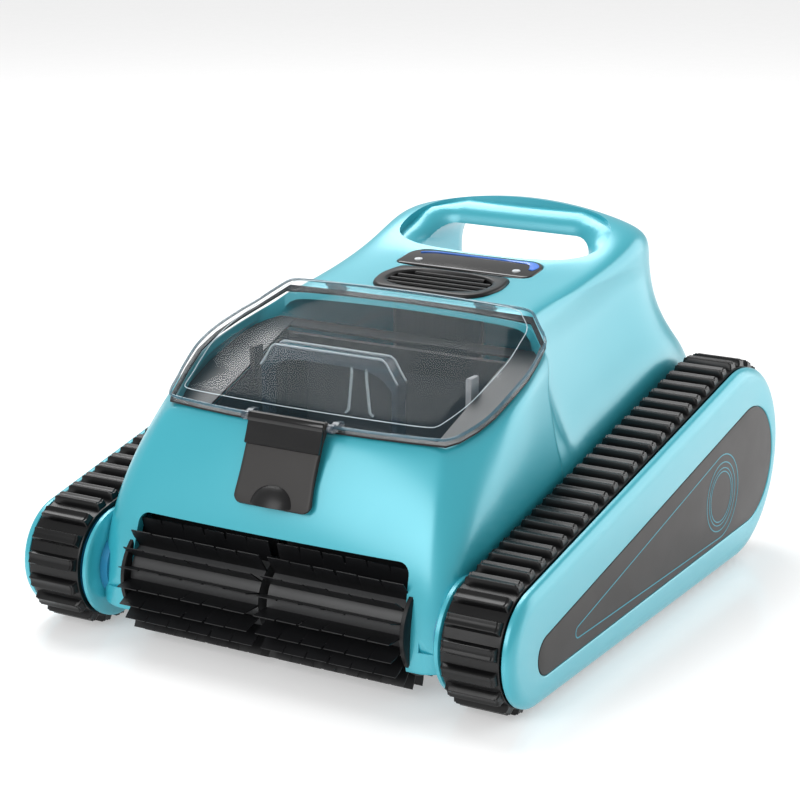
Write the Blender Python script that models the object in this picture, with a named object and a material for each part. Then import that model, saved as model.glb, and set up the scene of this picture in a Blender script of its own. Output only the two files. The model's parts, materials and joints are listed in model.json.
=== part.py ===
"""Cordless robotic pool cleaner on two rubber tracks, as an assembly of separate pieces.

Metres, +Z up, front towards -Y. The origin is on the ground, under the middle of the outline.
"""

import math

import bmesh
import bpy
import numpy as np
from mathutils import Matrix, Vector

# ---- Driving sizes: running gear -------------------------------------------------------------
FRONT_RADIUS = 0.0428  # front wheel, measured over the lug tips
REAR_RADIUS = 0.0731  # rear wheel, measured over the lug tips
WHEELBASE = 0.3076
TRACK_INNER_X = 0.1343  # inner ends of the lugs
LUG_LENGTH = 0.0365
LUG_HEIGHT = 0.0050
LUG_ROOT = 0.0086  # lug width where it leaves the belt
LUG_TIP = 0.0062
LUG_COUNT = 65
BELT_THICKNESS = 0.0030
BELT_EDGE = 0.0011  # belt beyond each end of the lugs
COVER_GAP = 0.0012  # between belt edge and side cover
COVER_DEPTH = 0.0070
COVER_INSET = 0.0055  # cover outline inside the lug tips
COVER_ROUND = 0.0095
INLAY_DEPTH = 0.0017

# ---- Driving sizes: body --------------------------------------------------------------------
SHELL_WALL = 0.0030
SHELL_BOTTOM_Z = 0.0180
LID_FRONT_FROM_AXLE = 0.0114  # rim front edge, behind the front axle
LID_LENGTH = 0.1450
LID_THICKNESS = 0.0025
LID_CROWN = 0.0065
LEDGE = 0.0060  # width of the shelf that the lid lies on
SEAL_THICKNESS = 0.0012
SEAL_SEAT = 0.0007  # under the seal, where the shelf's facets rise between its stations
LID_SEAT = 0.0009  # under the lid, for the same reason
HANDLE_HALF_GAP = 0.0640
HANDLE_BAR_DEPTH = 0.0400
HANDLE_BAR_UNDERSIDE_Z = 0.2210
BRUSH_RADIUS = 0.0406
BRUSH_CORE_RADIUS = 0.0250
BRUSH_FINS = 20
BRUSH_FIN_THICKNESS = 0.0016
BRUSH_HALF_GAP = 0.0032
BRUSH_OPENING_HALF = 0.1115
AXLE_RADIUS = 0.0040

# ---- Driving sizes: drive train ---------------------------------------------------------------
GEAR_MODULE = 0.0022
GEAR_TEETH = 32
PINION_TEETH = 17
GEAR_WIDTH = 0.0090
PRESSURE_ANGLE = math.radians(20.0)
BACKLASH = 0.0004
MOTOR_RADIUS = 0.0170
IDLER_RADIUS = 0.0100
HUB_WALL = 0.0060

# ---- Driving sizes: inside the body and on the deck ------------------------------------------
COUPLER_RADIUS = 0.0090  # hub that joins a brush to its front wheel
SOCKET_Z = 0.0900  # charging socket, above the ground
SOCKET_RADIUS = 0.0090
BASKET_HALF = 0.0860
BASKET_WALL = 0.0025
BASKET_FLOOR_Z = 0.0620
BASKET_GRIP_HALF = 0.0520  # half width of the basket's grip
BASKET_GRIP_X = -0.0220  # middle of the grip, to the left of the machine's middle
BASKET_GRIP_TOP_Z = 0.1770
BASKET_GRIP_POST = 0.0050
INLET_HALF = 0.0560
BUTTON_X = 0.0384
BUTTON_RADIUS = 0.0030
BUTTON_TRAVEL = 0.0010

# ---- Fits ----------------------------------------------------------------------------------------
TOUCH = 0.0003  # between pieces that rest on each other
RUN = 0.0004  # radial play of a turning piece on its pin
SLACK = 0.0006  # between a belt and its pulleys
SWEEP = 0.0020  # round a piece that swings or turns past another

# ---- Derived places --------------------------------------------------------------------------
LENGTH = FRONT_RADIUS + WHEELBASE + REAR_RADIUS
FRONT_AXLE = (FRONT_RADIUS - LENGTH / 2, FRONT_RADIUS)
REAR_AXLE = (LENGTH / 2 - REAR_RADIUS, REAR_RADIUS)
TRACK_OUTER_X = TRACK_INNER_X + LUG_LENGTH
BODY_HALF = TRACK_INNER_X - BELT_EDGE - 0.0022
COVER_BACK_X = TRACK_OUTER_X + BELT_EDGE + COVER_GAP
COVER_FACE_X = COVER_BACK_X + COVER_DEPTH
BELT_DEPTH = LUG_HEIGHT + BELT_THICKNESS
LID_FRONT_Y = FRONT_AXLE[0] + LID_FRONT_FROM_AXLE
LID_REAR_Y = LID_FRONT_Y + LID_LENGTH
GEAR_DISTANCE = GEAR_MODULE * (GEAR_TEETH + PINION_TEETH) / 2
MOTOR_AXIS = (REAR_AXLE[0] - GEAR_DISTANCE, REAR_AXLE[1])
IDLER_AXIS = (REAR_AXLE[0] - 0.1640, BELT_DEPTH + SLACK + IDLER_RADIUS)
PULLEY_IN_X = TRACK_INNER_X + 0.0110
PULLEY_OUT_X = TRACK_OUTER_X - 0.0008
FRONT_PULLEY_RADIUS = FRONT_RADIUS - BELT_DEPTH - SLACK
REAR_PULLEY_RADIUS = REAR_RADIUS - BELT_DEPTH - SLACK
HINGE = (LID_REAR_Y + 0.0055, 0.1975)
HINGE_PIN_RADIUS = 0.0020
KNUCKLE_RADIUS = 0.0040
KNUCKLE_X = (0.0500, 0.0635)
HINGE_PIN_HALF = KNUCKLE_X[1] + 0.0050
LATCH_PIN = (LID_FRONT_Y - 0.0037, 0.1536)
LATCH_PIN_RADIUS = 0.0015
LATCH_HALF_WIDTH = 0.0285
HANDLE_FRONT_Y = REAR_AXLE[0] - 0.0387  # rear edge of the deck
HANDLE_BAR_Y = HANDLE_FRONT_Y + 0.0395  # front face of the grip bar
GRILLE_Y = (LID_REAR_Y + 0.0145, LID_REAR_Y + 0.0645)
PANEL_Y = (GRILLE_Y[1] + 0.0052, GRILLE_Y[1] + 0.0375)
PUMP_Y = (GRILLE_Y[0] + GRILLE_Y[1]) / 2
CHASSIS_TOP_Z = SHELL_BOTTOM_Z
CHASSIS_BOTTOM_Z = CHASSIS_TOP_Z - 0.0040
CHAMBER_BACK_Y = FRONT_AXLE[0] + BRUSH_RADIUS + SWEEP
CHAMBER_TOP_Z = FRONT_AXLE[1] + BRUSH_RADIUS + SWEEP

INLAY_FRONT = (FRONT_AXLE[0] + 0.0099, FRONT_AXLE[1] - 0.0073)
INLAY_REAR = (REAR_AXLE[0] + 0.0123, REAR_AXLE[1] - 0.0034)
INLAY_RADII = (0.0125, 0.0415)
REAR_WALL_Y = REAR_AXLE[0] + 0.0540
BASKET_Y = (CHAMBER_BACK_Y + 0.0080, LID_REAR_Y - 0.0180)
INLET_Y = (BASKET_Y[0] + 0.0050, BASKET_Y[0] + 0.0270)
LID_STATIONS = 10  # stations of the shell that carry the lid's rim
SIDES = (("left", -1), ("right", 1))
MATERIALS = {}


# ---- Materials -----------------------------------------------------------------------------------
def paint(name, colour, roughness, metallic=0.0):
    """A Principled material, made once and shared by name."""
    if name not in MATERIALS:
        material = bpy.data.materials.new(name)
        material.use_nodes = True
        shader = material.node_tree.nodes["Principled BSDF"]
        shader.inputs["Base Color"].default_value = (*colour, 1.0)
        shader.inputs["Roughness"].default_value = roughness
        shader.inputs["Metallic"].default_value = metallic
        material.diffuse_color = (*colour, 1.0)
        MATERIALS[name] = material
    return MATERIALS[name]


def turquoise():
    return paint("satin_turquoise", (0.16, 0.66, 0.72), 0.35)


def rubber():
    return paint("black_rubber", (0.02, 0.02, 0.022), 0.75)


def black():
    return paint("black_plastic", (0.03, 0.03, 0.032), 0.45)


def charcoal():
    return paint("charcoal_plastic", (0.065, 0.06, 0.057), 0.5)


def gloss():
    return paint("gloss_black", (0.012, 0.012, 0.014), 0.12)


def clear():
    return paint("smoked_clear", (0.55, 0.68, 0.72), 0.08)


def steel():
    return paint("stainless_steel", (0.62, 0.62, 0.60), 0.3, 1.0)


# ---- Mesh helpers ------------------------------------------------------------------------------
def make(name, points, faces, material, origin=(0.0, 0.0, 0.0), sharp=35.0):
    """One object from points and faces, its normals outwards and its origin where it turns."""
    mesh = bpy.data.meshes.new(name)
    mesh.from_pydata([tuple(point) for point in points], [], faces)
    shape = bmesh.new()
    shape.from_mesh(mesh)
    bmesh.ops.recalc_face_normals(shape, faces=shape.faces)
    shape.to_mesh(mesh)
    shape.free()
    mesh.transform(Matrix.Translation(-Vector(origin)))
    mesh.shade_smooth()
    mesh.set_sharp_from_angle(angle=math.radians(sharp))
    body = bpy.data.objects.new(name, mesh)
    body.location = origin
    if material:
        mesh.materials.append(material)
    bpy.context.scene.collection.objects.link(body)
    return body


def lift(axis, a, b, height):
    """A point of an outline, raised along its extrusion axis."""
    if axis == "X":
        return (height, a, b)
    if axis == "Y":
        return (a, height, b)
    return (a, b, height)


def prism(name, outline, axis, low, high, material=None, holes=(), origin=(0.0, 0.0, 0.0)):
    """An outline, with any holes, extruded along an axis from low to high."""
    loops = [list(outline), *[list(hole) for hole in holes]]
    flat = [point for loop in loops for point in loop]
    count = len(flat)
    points = [lift(axis, a, b, low) for a, b in flat] + [lift(axis, a, b, high) for a, b in flat]
    walls = []
    start = 0
    for loop in loops:
        for i in range(len(loop)):
            j = (i + 1) % len(loop)
            walls.append((start + i, start + j, start + j + count, start + i + count))
        start += len(loop)
    caps = [tuple(range(count))] if not holes else filled(loops)
    tops = [tuple(index + count for index in cap) for cap in caps]
    return make(name, points, caps + tops + walls, material, origin)


def filled(loops):
    """Triangles that fill the first loop and leave the others open."""
    shape = bmesh.new()
    edges = []
    for loop in loops:
        corners = [shape.verts.new((a, b, 0.0)) for a, b in loop]
        for i, corner in enumerate(corners):
            edges.append(shape.edges.new((corner, corners[(i + 1) % len(corners)])))
    shape.verts.index_update()
    bmesh.ops.triangle_fill(shape, use_beauty=True, use_dissolve=False, edges=edges)
    triangles = [tuple(corner.index for corner in face.verts) for face in shape.faces]
    shape.free()
    return triangles


def box(name, x, y, z, material=None, origin=(0.0, 0.0, 0.0)):
    """A box between two values on each axis."""
    outline = [(y[0], z[0]), (y[1], z[0]), (y[1], z[1]), (y[0], z[1])]
    return prism(name, outline, "X", x[0], x[1], material, origin=origin)


def circle(centre, radius, steps, start=0.0):
    """Points of a regular outline round a centre."""
    angles = [start + 2 * math.pi * i / steps for i in range(steps)]
    return [(centre[0] + radius * math.cos(a), centre[1] + radius * math.sin(a)) for a in angles]


def turned(name, profile, axis, centre, steps, material=None, origin=None):
    """A closed profile of (along, radius) points, turned round an axis through centre."""
    points = []
    rings = []
    for along, radius in profile:
        ring = []
        for i in range(steps if radius > 0 else 1):
            angle = 2 * math.pi * i / steps
            a = centre[0] + radius * math.cos(angle)
            b = centre[1] + radius * math.sin(angle)
            ring.append(len(points))
            points.append(lift(axis, a, b, along))
        rings.append(ring)
    faces = []
    for first, second in zip(rings, rings[1:] + rings[:1]):
        for i in range(steps):
            j = (i + 1) % steps
            corners = [first[i % len(first)], first[j % len(first)], second[j % len(second)]]
            corners.append(second[i % len(second)])
            unique = list(dict.fromkeys(corners))
            if len(unique) > 2:
                faces.append(tuple(unique))
    if origin is None:
        origin = lift(axis, centre[0], centre[1], (profile[0][0] + profile[-1][0]) / 2)
    return make(name, points, faces, material, origin)


def sleeve(low, high, inner, outer):
    """The profile of a plain tube."""
    return [(low, inner), (low, outer), (high, outer), (high, inner)]


def rod(low, high, radius):
    """The profile of a plain rod."""
    return [(low, 0.0), (low, radius), (high, radius), (high, 0.0)]


def combine(target, helper, operation):
    """Adds a Boolean modifier, and hides its helper from renders."""
    helper.hide_render = True
    helper.display_type = "WIRE"
    modifier = target.modifiers.new(f"{operation.lower()}_{helper.name}", "BOOLEAN")
    modifier.operation = operation
    modifier.object = helper
    return target


def mirrored(span, side):
    """A span of positive X values, on the given side, in rising order."""
    return tuple(sorted((span[0] * side, span[1] * side)))


def hull(front, front_radius, rear, rear_radius, front_steps, rear_steps, circumscribed=False):
    """The belt-like outline round two circles, as (y, z) points."""
    across = (rear[0] - front[0], rear[1] - front[1])
    heading = math.atan2(across[1], across[0])
    spread = math.acos((front_radius - rear_radius) / math.hypot(*across))
    arcs = (
        (rear, rear_radius, heading - spread, heading + spread, rear_steps),
        (front, front_radius, heading + spread, heading - spread + 2 * math.pi, front_steps),
    )
    outline = []
    for centre, radius, start, end, steps in arcs:
        reach = radius / math.cos((end - start) / steps / 2) if circumscribed else radius
        for i in range(steps + 1):
            angle = start + (end - start) * i / steps
            size = radius if i in (0, steps) else reach
            outline.append((centre[0] + size * math.cos(angle), centre[1] + size * math.sin(angle)))
    return outline


def track_hull(inset, front_steps, rear_steps, circumscribed=False):
    """The outline of the track's lug tips, moved inwards by an inset."""
    radii = (FRONT_RADIUS - inset, REAR_RADIUS - inset)
    return hull(FRONT_AXLE, radii[0], REAR_AXLE, radii[1], front_steps, rear_steps, circumscribed)


# ---- Tracks --------------------------------------------------------------------------------------
def belt_stretches():
    """The four stretches of the belt's neutral line: (length, point function of (s, offset))."""
    depth = LUG_HEIGHT + BELT_THICKNESS / 2
    across = (REAR_AXLE[0] - FRONT_AXLE[0], REAR_AXLE[1] - FRONT_AXLE[1])
    heading = math.atan2(across[1], across[0])
    spread = math.acos((FRONT_RADIUS - REAR_RADIUS) / math.hypot(*across))
    straight = math.hypot(*across) * math.sin(spread)
    rear = REAR_RADIUS - depth
    front = FRONT_RADIUS - depth

    def arc(centre, radius, start):
        def place(s, offset):
            angle = start + s / radius
            size = radius + offset
            return (centre[0] + size * math.cos(angle), centre[1] + size * math.sin(angle))

        return place

    def run(centre, radius, angle):
        def place(s, offset):
            normal = (math.cos(angle), math.sin(angle))
            size = radius + offset
            y = centre[0] + size * normal[0] - s * normal[1]
            z = centre[1] + size * normal[1] + s * normal[0]
            return (y, z)

        return place

    return [
        (straight, 0.0, run(FRONT_AXLE, front, heading - spread)),
        (2 * spread * rear, rear, arc(REAR_AXLE, rear, heading - spread)),
        (straight, 0.0, run(REAR_AXLE, rear, heading + spread)),
        ((2 * math.pi - 2 * spread) * front, front, arc(FRONT_AXLE, front, heading + spread)),
    ]


def belt_outline():
    """The lugged outer outline of the belt."""
    stretches = belt_stretches()
    total = sum(length for length, _, _ in stretches)
    top_run_end = sum(length for length, _, _ in stretches[:3])
    pitch = total / LUG_COUNT
    surface = BELT_THICKNESS / 2
    tip = surface + LUG_HEIGHT
    outline = []
    for k in range(LUG_COUNT):
        centre = (top_run_end + k * pitch) % total
        for half, offset in ((-LUG_ROOT, surface), (-LUG_TIP, tip), (LUG_TIP, tip), (LUG_ROOT, surface)):
            outline.append(belt_point(stretches, centre, half / 2, offset))
    return outline


def belt_point(stretches, centre, half_width, offset):
    """A point beside a lug's centre, on the stretch that carries the centre."""
    position = centre
    for length, radius, place in stretches:
        if position < length:
            shrink = radius / (radius + offset) if radius else 1.0
            return place(position + half_width * shrink, offset)
        position -= length
    return stretches[0][2](half_width, offset)


def build_tracks():
    outer = belt_outline()
    inner = track_hull(BELT_DEPTH, 12, 20, circumscribed=True)
    spans = (TRACK_INNER_X - BELT_EDGE, TRACK_OUTER_X + BELT_EDGE)
    for word, side in SIDES:
        low, high = mirrored(spans, side)
        prism(f"track_belt_{word}", outer, "X", low, high, rubber(), holes=[inner])


# ---- Pulleys, gears and axles ----------------------------------------------------------------
def gear_outline(centre, teeth, first_tooth):
    """A spur gear with chord flanks that stay inside the involute."""
    pitch = GEAR_MODULE * teeth / 2
    base = pitch * math.cos(PRESSURE_ANGLE)
    tip = pitch + GEAR_MODULE
    root = pitch - 1.25 * GEAR_MODULE

    def half_angle(radius):
        slope = math.acos(min(1.0, base / radius))
        roll = math.tan(slope) - slope
        pitch_roll = math.tan(PRESSURE_ANGLE) - PRESSURE_ANGLE
        return math.pi / (2 * teeth) - BACKLASH / (2 * pitch) + pitch_roll - roll

    outline = []
    for k in range(teeth):
        middle = first_tooth + 2 * math.pi * k / teeth
        for radius, turn in ((root, -half_angle(base)), (tip, -half_angle(tip)),
                             (tip, half_angle(tip)), (root, half_angle(base))):
            angle = middle + turn
            outline.append((centre[0] + radius * math.cos(angle), centre[1] + radius * math.sin(angle)))
    return outline


def pulley_profile(radius, hub_low, low, high, bore):
    """A dished wheel: a rim from low to high, a thin web, and a hub that starts at hub_low."""
    rim = radius - 0.0060
    hub = bore + HUB_WALL
    web = (low + high) / 2
    half_web = 0.0020
    return [
        (hub_low, bore), (hub_low, hub), (web - half_web, hub), (web - half_web, rim), (low, rim),
        (low, radius), (high, radius), (high, rim), (web + half_web, rim), (web + half_web, hub),
        (high, hub), (high, bore),
    ]


def build_running_gear():
    gear_x = (TRACK_INNER_X - 0.0003, TRACK_INNER_X - 0.0003 + GEAR_WIDTH)
    bore = AXLE_RADIUS + RUN
    rear_bore = AXLE_RADIUS + 0.0010 + RUN
    for word, side in SIDES:
        rear = [(side * x, r) for x, r in
                pulley_profile(REAR_PULLEY_RADIUS, gear_x[0], PULLEY_IN_X, PULLEY_OUT_X, rear_bore)]
        pulley = turned(f"rear_pulley_{word}", rear, "X", REAR_AXLE, 32, black())
        front_x = TRACK_INNER_X + 0.0007
        front = [(side * x, r) for x, r in
                 pulley_profile(FRONT_PULLEY_RADIUS, front_x, front_x, PULLEY_OUT_X, bore)]
        turned(f"front_pulley_{word}", front, "X", FRONT_AXLE, 24, black())
        low, high = mirrored(gear_x, side)
        middle = side * (gear_x[0] + gear_x[1]) / 2
        gear = prism(f"drive_gear_{word}", gear_outline(REAR_AXLE, GEAR_TEETH, math.pi), "X", low, high,
                     holes=[circle(REAR_AXLE, rear_bore + HUB_WALL / 2, 14)])
        combine(pulley, gear, "UNION")
        prism(f"drive_pinion_{word}",
              gear_outline(MOTOR_AXIS, PINION_TEETH, math.pi / PINION_TEETH), "X", low, high,
              paint("acetal_white", (0.75, 0.74, 0.70), 0.4), [circle(MOTOR_AXIS, 0.0034, 10)],
              (middle, *MOTOR_AXIS))
        turned(f"rear_axle_{word}",
               [(side * x, r) for x, r in rod(BODY_HALF - 0.0190, COVER_BACK_X - TOUCH, AXLE_RADIUS + 0.0010)],
               "X", REAR_AXLE, 14, steel())
        turned(f"idler_roller_{word}",
               [(side * x, r) for x, r in
                sleeve(PULLEY_IN_X, PULLEY_OUT_X - 0.0010, 0.0030 + RUN, IDLER_RADIUS)],
               "X", IDLER_AXIS, 18, black())
        turned(f"idler_pin_{word}",
               [(side * x, r) for x, r in rod(BODY_HALF - SHELL_WALL, COVER_BACK_X - TOUCH, 0.0030)],
               "X", IDLER_AXIS, 10, steel())
        turned(f"drive_motor_{word}",
               [(side * x, r) for x, r in
                ((BODY_HALF - 0.0640, 0.0), (BODY_HALF - 0.0640, MOTOR_RADIUS),
                 (BODY_HALF - 0.0125, MOTOR_RADIUS), (BODY_HALF - 0.0125, 0.0030),
                 (gear_x[1] - 0.0005, 0.0030), (gear_x[1] - 0.0005, 0.0))],
               "X", MOTOR_AXIS, 18, steel())
    reach = COVER_BACK_X - TOUCH
    turned("front_axle", rod(-reach, reach, AXLE_RADIUS), "X", FRONT_AXLE, 14, steel())


def build_track_frames():
    """A carrier inside each belt, on two posts that stand on the body side."""
    span = (PULLEY_IN_X, PULLEY_OUT_X - 0.0010)
    front_y = FRONT_AXLE[0] + FRONT_RADIUS + 0.0040
    rear_y = REAR_AXLE[0] - REAR_RADIUS + 0.0035
    low_z = IDLER_AXIS[1] + IDLER_RADIUS + SWEEP
    margin = BELT_DEPTH + 0.0060
    outline = [(front_y, low_z), (rear_y, low_z), (rear_y, top_run_z(rear_y) - margin),
               (front_y, top_run_z(front_y) - margin)]
    rib = 0.0120
    window = [(front_y + rib * 2, low_z + rib), (rear_y - rib * 2, low_z + rib),
              (rear_y - rib * 2, top_run_z(rear_y - rib * 2) - margin - rib),
              (front_y + rib * 2, top_run_z(front_y + rib * 2) - margin - rib)]
    posts = ((front_y + rib, low_z + rib + 0.0080), (rear_y - rib, low_z + rib + 0.0080))
    for word, side in SIDES:
        low, high = mirrored(span, side)
        frame = prism(f"track_frame_{word}", outline, "X", low, high, black(), [window])
        for number, post in enumerate(posts):
            tube = rod(side * (BODY_HALF + TOUCH), side * (span[0] + 0.0020), 0.0080)
            combine(frame, turned(f"post_{word}_{number}", tube, "X", post, 12), "UNION")


def top_run_z(y):
    """Height of the lug tips on the sloping top run, above a place along the machine."""
    across = (REAR_AXLE[0] - FRONT_AXLE[0], REAR_AXLE[1] - FRONT_AXLE[1])
    angle = math.atan2(across[1], across[0]) + math.acos(
        (FRONT_RADIUS - REAR_RADIUS) / math.hypot(*across))
    touch = (REAR_AXLE[0] + REAR_RADIUS * math.cos(angle), REAR_AXLE[1] + REAR_RADIUS * math.sin(angle))
    return touch[1] - (y - touch[0]) * math.cos(angle) / math.sin(angle)


def track_top_z(y):
    """Height of the lug tips above any place along the track."""
    rear_start = REAR_AXLE[0] - REAR_RADIUS * 0.195
    if y > rear_start:
        return REAR_AXLE[1] + math.sqrt(max(0.0, REAR_RADIUS**2 - (y - REAR_AXLE[0])**2))
    return top_run_z(y)


# ---- Side covers -----------------------------------------------------------------------------


def inlay_outline(grow):
    return hull(INLAY_FRONT, INLAY_RADII[0] + grow, INLAY_REAR, INLAY_RADII[1] + grow, 8, 16)


def build_side_covers():
    edge_steps = 4
    stations = [(0.0, 0.0)]
    for i in range(edge_steps + 1):
        angle = math.pi / 2 * i / edge_steps
        depth = COVER_DEPTH * (0.30 + 0.70 * math.sin(angle))
        stations.append((depth, COVER_ROUND * (1 - math.cos(angle))))
    for word, side in SIDES:
        points = []
        loops = []
        for depth, inset in stations:
            loop = track_hull(COVER_INSET + inset, 14, 22)
            loops.append(range(len(points), len(points) + len(loop)))
            points += [(side * (COVER_BACK_X + depth), y, z) for y, z in loop]
        faces = [tuple(loops[0]), tuple(loops[-1])]
        for first, second in zip(loops, loops[1:]):
            for i in range(len(first)):
                j = (i + 1) % len(first)
                faces.append((first[i], first[j], second[j], second[i]))
        cover = make(f"side_cover_{word}", points, faces, turquoise())
        floor = COVER_FACE_X - INLAY_DEPTH
        low, high = mirrored((floor - TOUCH, COVER_FACE_X + 0.0100), side)
        combine(cover, prism(f"inlay_recess_{word}", inlay_outline(TOUCH), "X", low, high), "DIFFERENCE")
        low, high = mirrored((floor, COVER_FACE_X), side)
        prism(f"side_inlay_{word}", inlay_outline(0.0), "X", low, high, charcoal())


# ---- Upper shell -------------------------------------------------------------------------------
# Each station: half width, Y, and height of the upper edge; Y and height at mid width; half
# width and Y of the foot; flare, from 0 (bulging) to 1 (upright, then sweeping out at its foot).
def shell_stations():
    front = LID_FRONT_Y
    rear = LID_REAR_Y
    axle = REAR_AXLE[0]
    side = BODY_HALF
    return [
        (0.1023, front + 0.0115, 0.1470, front, 0.1470, side - 0.0190, FRONT_AXLE[0] - 0.0245, 0.0),
        (0.1085, front + 0.0215, 0.1485, front + 0.0095, 0.1520, side - 0.0090, FRONT_AXLE[0] - 0.0220, 0.0),
        (0.1135, front + 0.0360, 0.1523, front + 0.0325, 0.1600, side - 0.0025, FRONT_AXLE[0] - 0.0150, 0.0),
        (0.1173, front + 0.0495, 0.1578, front + 0.0495, 0.1660, side, FRONT_AXLE[0] - 0.0010, 0.1),
        (0.1200, front + 0.0685, 0.1667, front + 0.0685, 0.1720, side, front + 0.0250, 0.3),
        (0.1200, front + 0.0890, 0.1734, front + 0.0890, 0.1795, side, front + 0.0600, 0.35),
        (0.1164, rear - 0.0345, 0.1796, rear - 0.0345, 0.1875, side, rear - 0.0480, 0.4),
        (0.1123, rear - 0.0175, 0.1843, rear - 0.0175, 0.1935, side, rear - 0.0175, 0.5),
        (0.1030, rear - 0.0092, 0.1918, rear - 0.0092, 0.1970, side, rear - 0.0080, 0.6),
        (0.0925, rear, 0.2002, rear, 0.2005, side, rear + 0.0040, 0.7),
        (0.0925, rear + 0.0325, 0.2050, rear + 0.0325, 0.2025, side, rear + 0.0325, 0.85),
        (0.0935, axle - 0.0787, 0.2105, axle - 0.0787, 0.2055, side, axle - 0.0787, 0.95),
        (0.0960, axle - 0.0387, 0.2180, axle - 0.0387, 0.2110, side, axle - 0.0387, 1.0),
        (0.0985, axle - 0.0037, 0.2260, axle - 0.0037, 0.2370, side, axle - 0.0037, 1.0),
        (0.0960, axle + 0.0193, 0.2265, axle + 0.0193, 0.2420, side, axle + 0.0233, 1.0),
        (0.0880, axle + 0.0333, 0.2210, axle + 0.0333, 0.2370, side - 0.0020, axle + 0.0430, 1.0),
        (0.0740, axle + 0.0413, 0.2140, axle + 0.0413, 0.2280, side - 0.0100, axle + 0.0540, 1.0),
    ]


def hand_hole_floor_z(y):
    """The slope under the grip bar, from the deck down to the rear wall."""
    return 0.1950 - 0.55 * (y - HANDLE_FRONT_Y)


def inner_stations():
    """The cavity: the shell's stations moved in by the wall, and kept under the hand hole."""
    wall = SHELL_WALL
    stations = []
    outer = shell_stations()
    for number, (half, y, z, mid_y, mid_z, foot_x, foot_y, flare) in enumerate(outer):
        shift = wall if number < 4 else 0.0
        shift = -wall if number > len(outer) - 3 else shift
        ceiling = min(z, mid_z) - wall * 1.2
        if y > HANDLE_FRONT_Y - 0.0200:
            ceiling = min(ceiling, hand_hole_floor_z(y) - wall * 1.3)
        edge = ceiling if y > HANDLE_FRONT_Y - 0.0200 else z - wall * 1.2
        middle = ceiling if y > HANDLE_FRONT_Y - 0.0200 else mid_z - wall * 1.2
        stations.append((half - wall, y + shift, edge, mid_y + shift, middle,
                         foot_x - wall, foot_y + shift, flare))
    return stations


def wrap_solid(name, stations, columns, steps, bottom, material=None):
    """A closed body: a top patch between mirrored edges, and a skirt swept down to the foot."""
    knees = []
    for half, y, z, mid_y, mid_z, foot_x, foot_y, flare in stations:
        knee = min(track_top_z(foot_y) - 0.0040, z - 0.0050)
        front_share = max(0.0, min(1.0, (FRONT_AXLE[0] + 0.0300 - foot_y) / 0.0550))
        knees.append(knee + (bottom + 0.0070 - knee) * front_share)
    points = []
    top = []
    for half, y, z, mid_y, mid_z, _, _, _ in stations:
        row = []
        for j in range(columns + 1):
            c = 2 * j / columns - 1
            row.append(len(points))
            points.append((half * c, mid_y + (y - mid_y) * c * c, mid_z + (z - mid_z) * c * c))
        top.append(row)
    faces = []
    for first, second in zip(top, top[1:]):
        for j in range(columns):
            faces.append((first[j], first[j + 1], second[j + 1], second[j]))
    last = len(stations) - 1
    rim = [(0, j, 2 * j / columns - 1) for j in range(columns + 1)]
    rim += [(i, columns, 1.0) for i in range(1, last)]
    rim += [(last, j, 2 * j / columns - 1) for j in range(columns, -1, -1)]
    rim += [(i, 0, -1.0) for i in range(last - 1, 0, -1)]
    loops = [[top[i][j] for i, j, _ in rim]]
    for step in range(1, steps + 2):
        q = min(1.0, step / steps)
        loop = []
        for i, j, c in rim:
            half, y, z, mid_y, mid_z, foot_x, foot_y, flare = stations[i]
            start = points[top[i][j]]
            share = (1 - flare) * (1 - (1 - q) ** 2.1) + flare * q**3
            height = start[2] + (knees[i] - start[2]) * q if step <= steps else bottom
            loop.append(len(points))
            points.append((start[0] + (foot_x * c - start[0]) * share,
                           start[1] + (foot_y - start[1]) * share, height))
        loops.append(loop)
    for first, second in zip(loops, loops[1:]):
        for i in range(len(first)):
            j = (i + 1) % len(first)
            faces.append((first[i], first[j], second[j], second[i]))
    faces.append(tuple(loops[-1]))
    return make(name, points, faces, material, sharp=50.0)


def on_patch(rows, u, c):
    """A point of the top surface: u counts stations from the front, c runs from -1 to 1 across."""
    lower = min(int(u), len(rows) - 2)
    t = u - lower
    half, y, z, mid_y, mid_z = [p + (q - p) * t for p, q in zip(rows[lower][:5], rows[lower + 1][:5])]
    return (half * c, mid_y + (y - mid_y) * c * c, mid_z + (z - mid_z) * c * c)


def rim_outline(inset):
    """The lid's rim, moved inwards over the top surface: a closed list of (x, y, z)."""
    rows = shell_stations()[:LID_STATIONS]
    last = len(rows) - 1
    first_u = inset / (rows[1][3] - rows[0][3])
    last_u = last - inset / (rows[last][1] - rows[last - 1][1])

    def edge(u):
        return 1 - inset / on_patch(rows, u, 1.0)[0]

    across = [j / 4 - 0.75 for j in range(7)]
    loop = [(first_u, c) for c in across]
    loop += [(u, edge(u)) for u in (first_u, *range(1, last), last_u)]
    loop += [(last_u, c) for c in (0.5, 0.0, -0.5)]
    loop += [(u, -edge(u)) for u in (last_u, *range(last - 1, 0, -1), first_u)]
    return [on_patch(rows, u, c) for u, c in loop]


def opening(outline):
    return [(x, y) for x, y, _ in outline]


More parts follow.
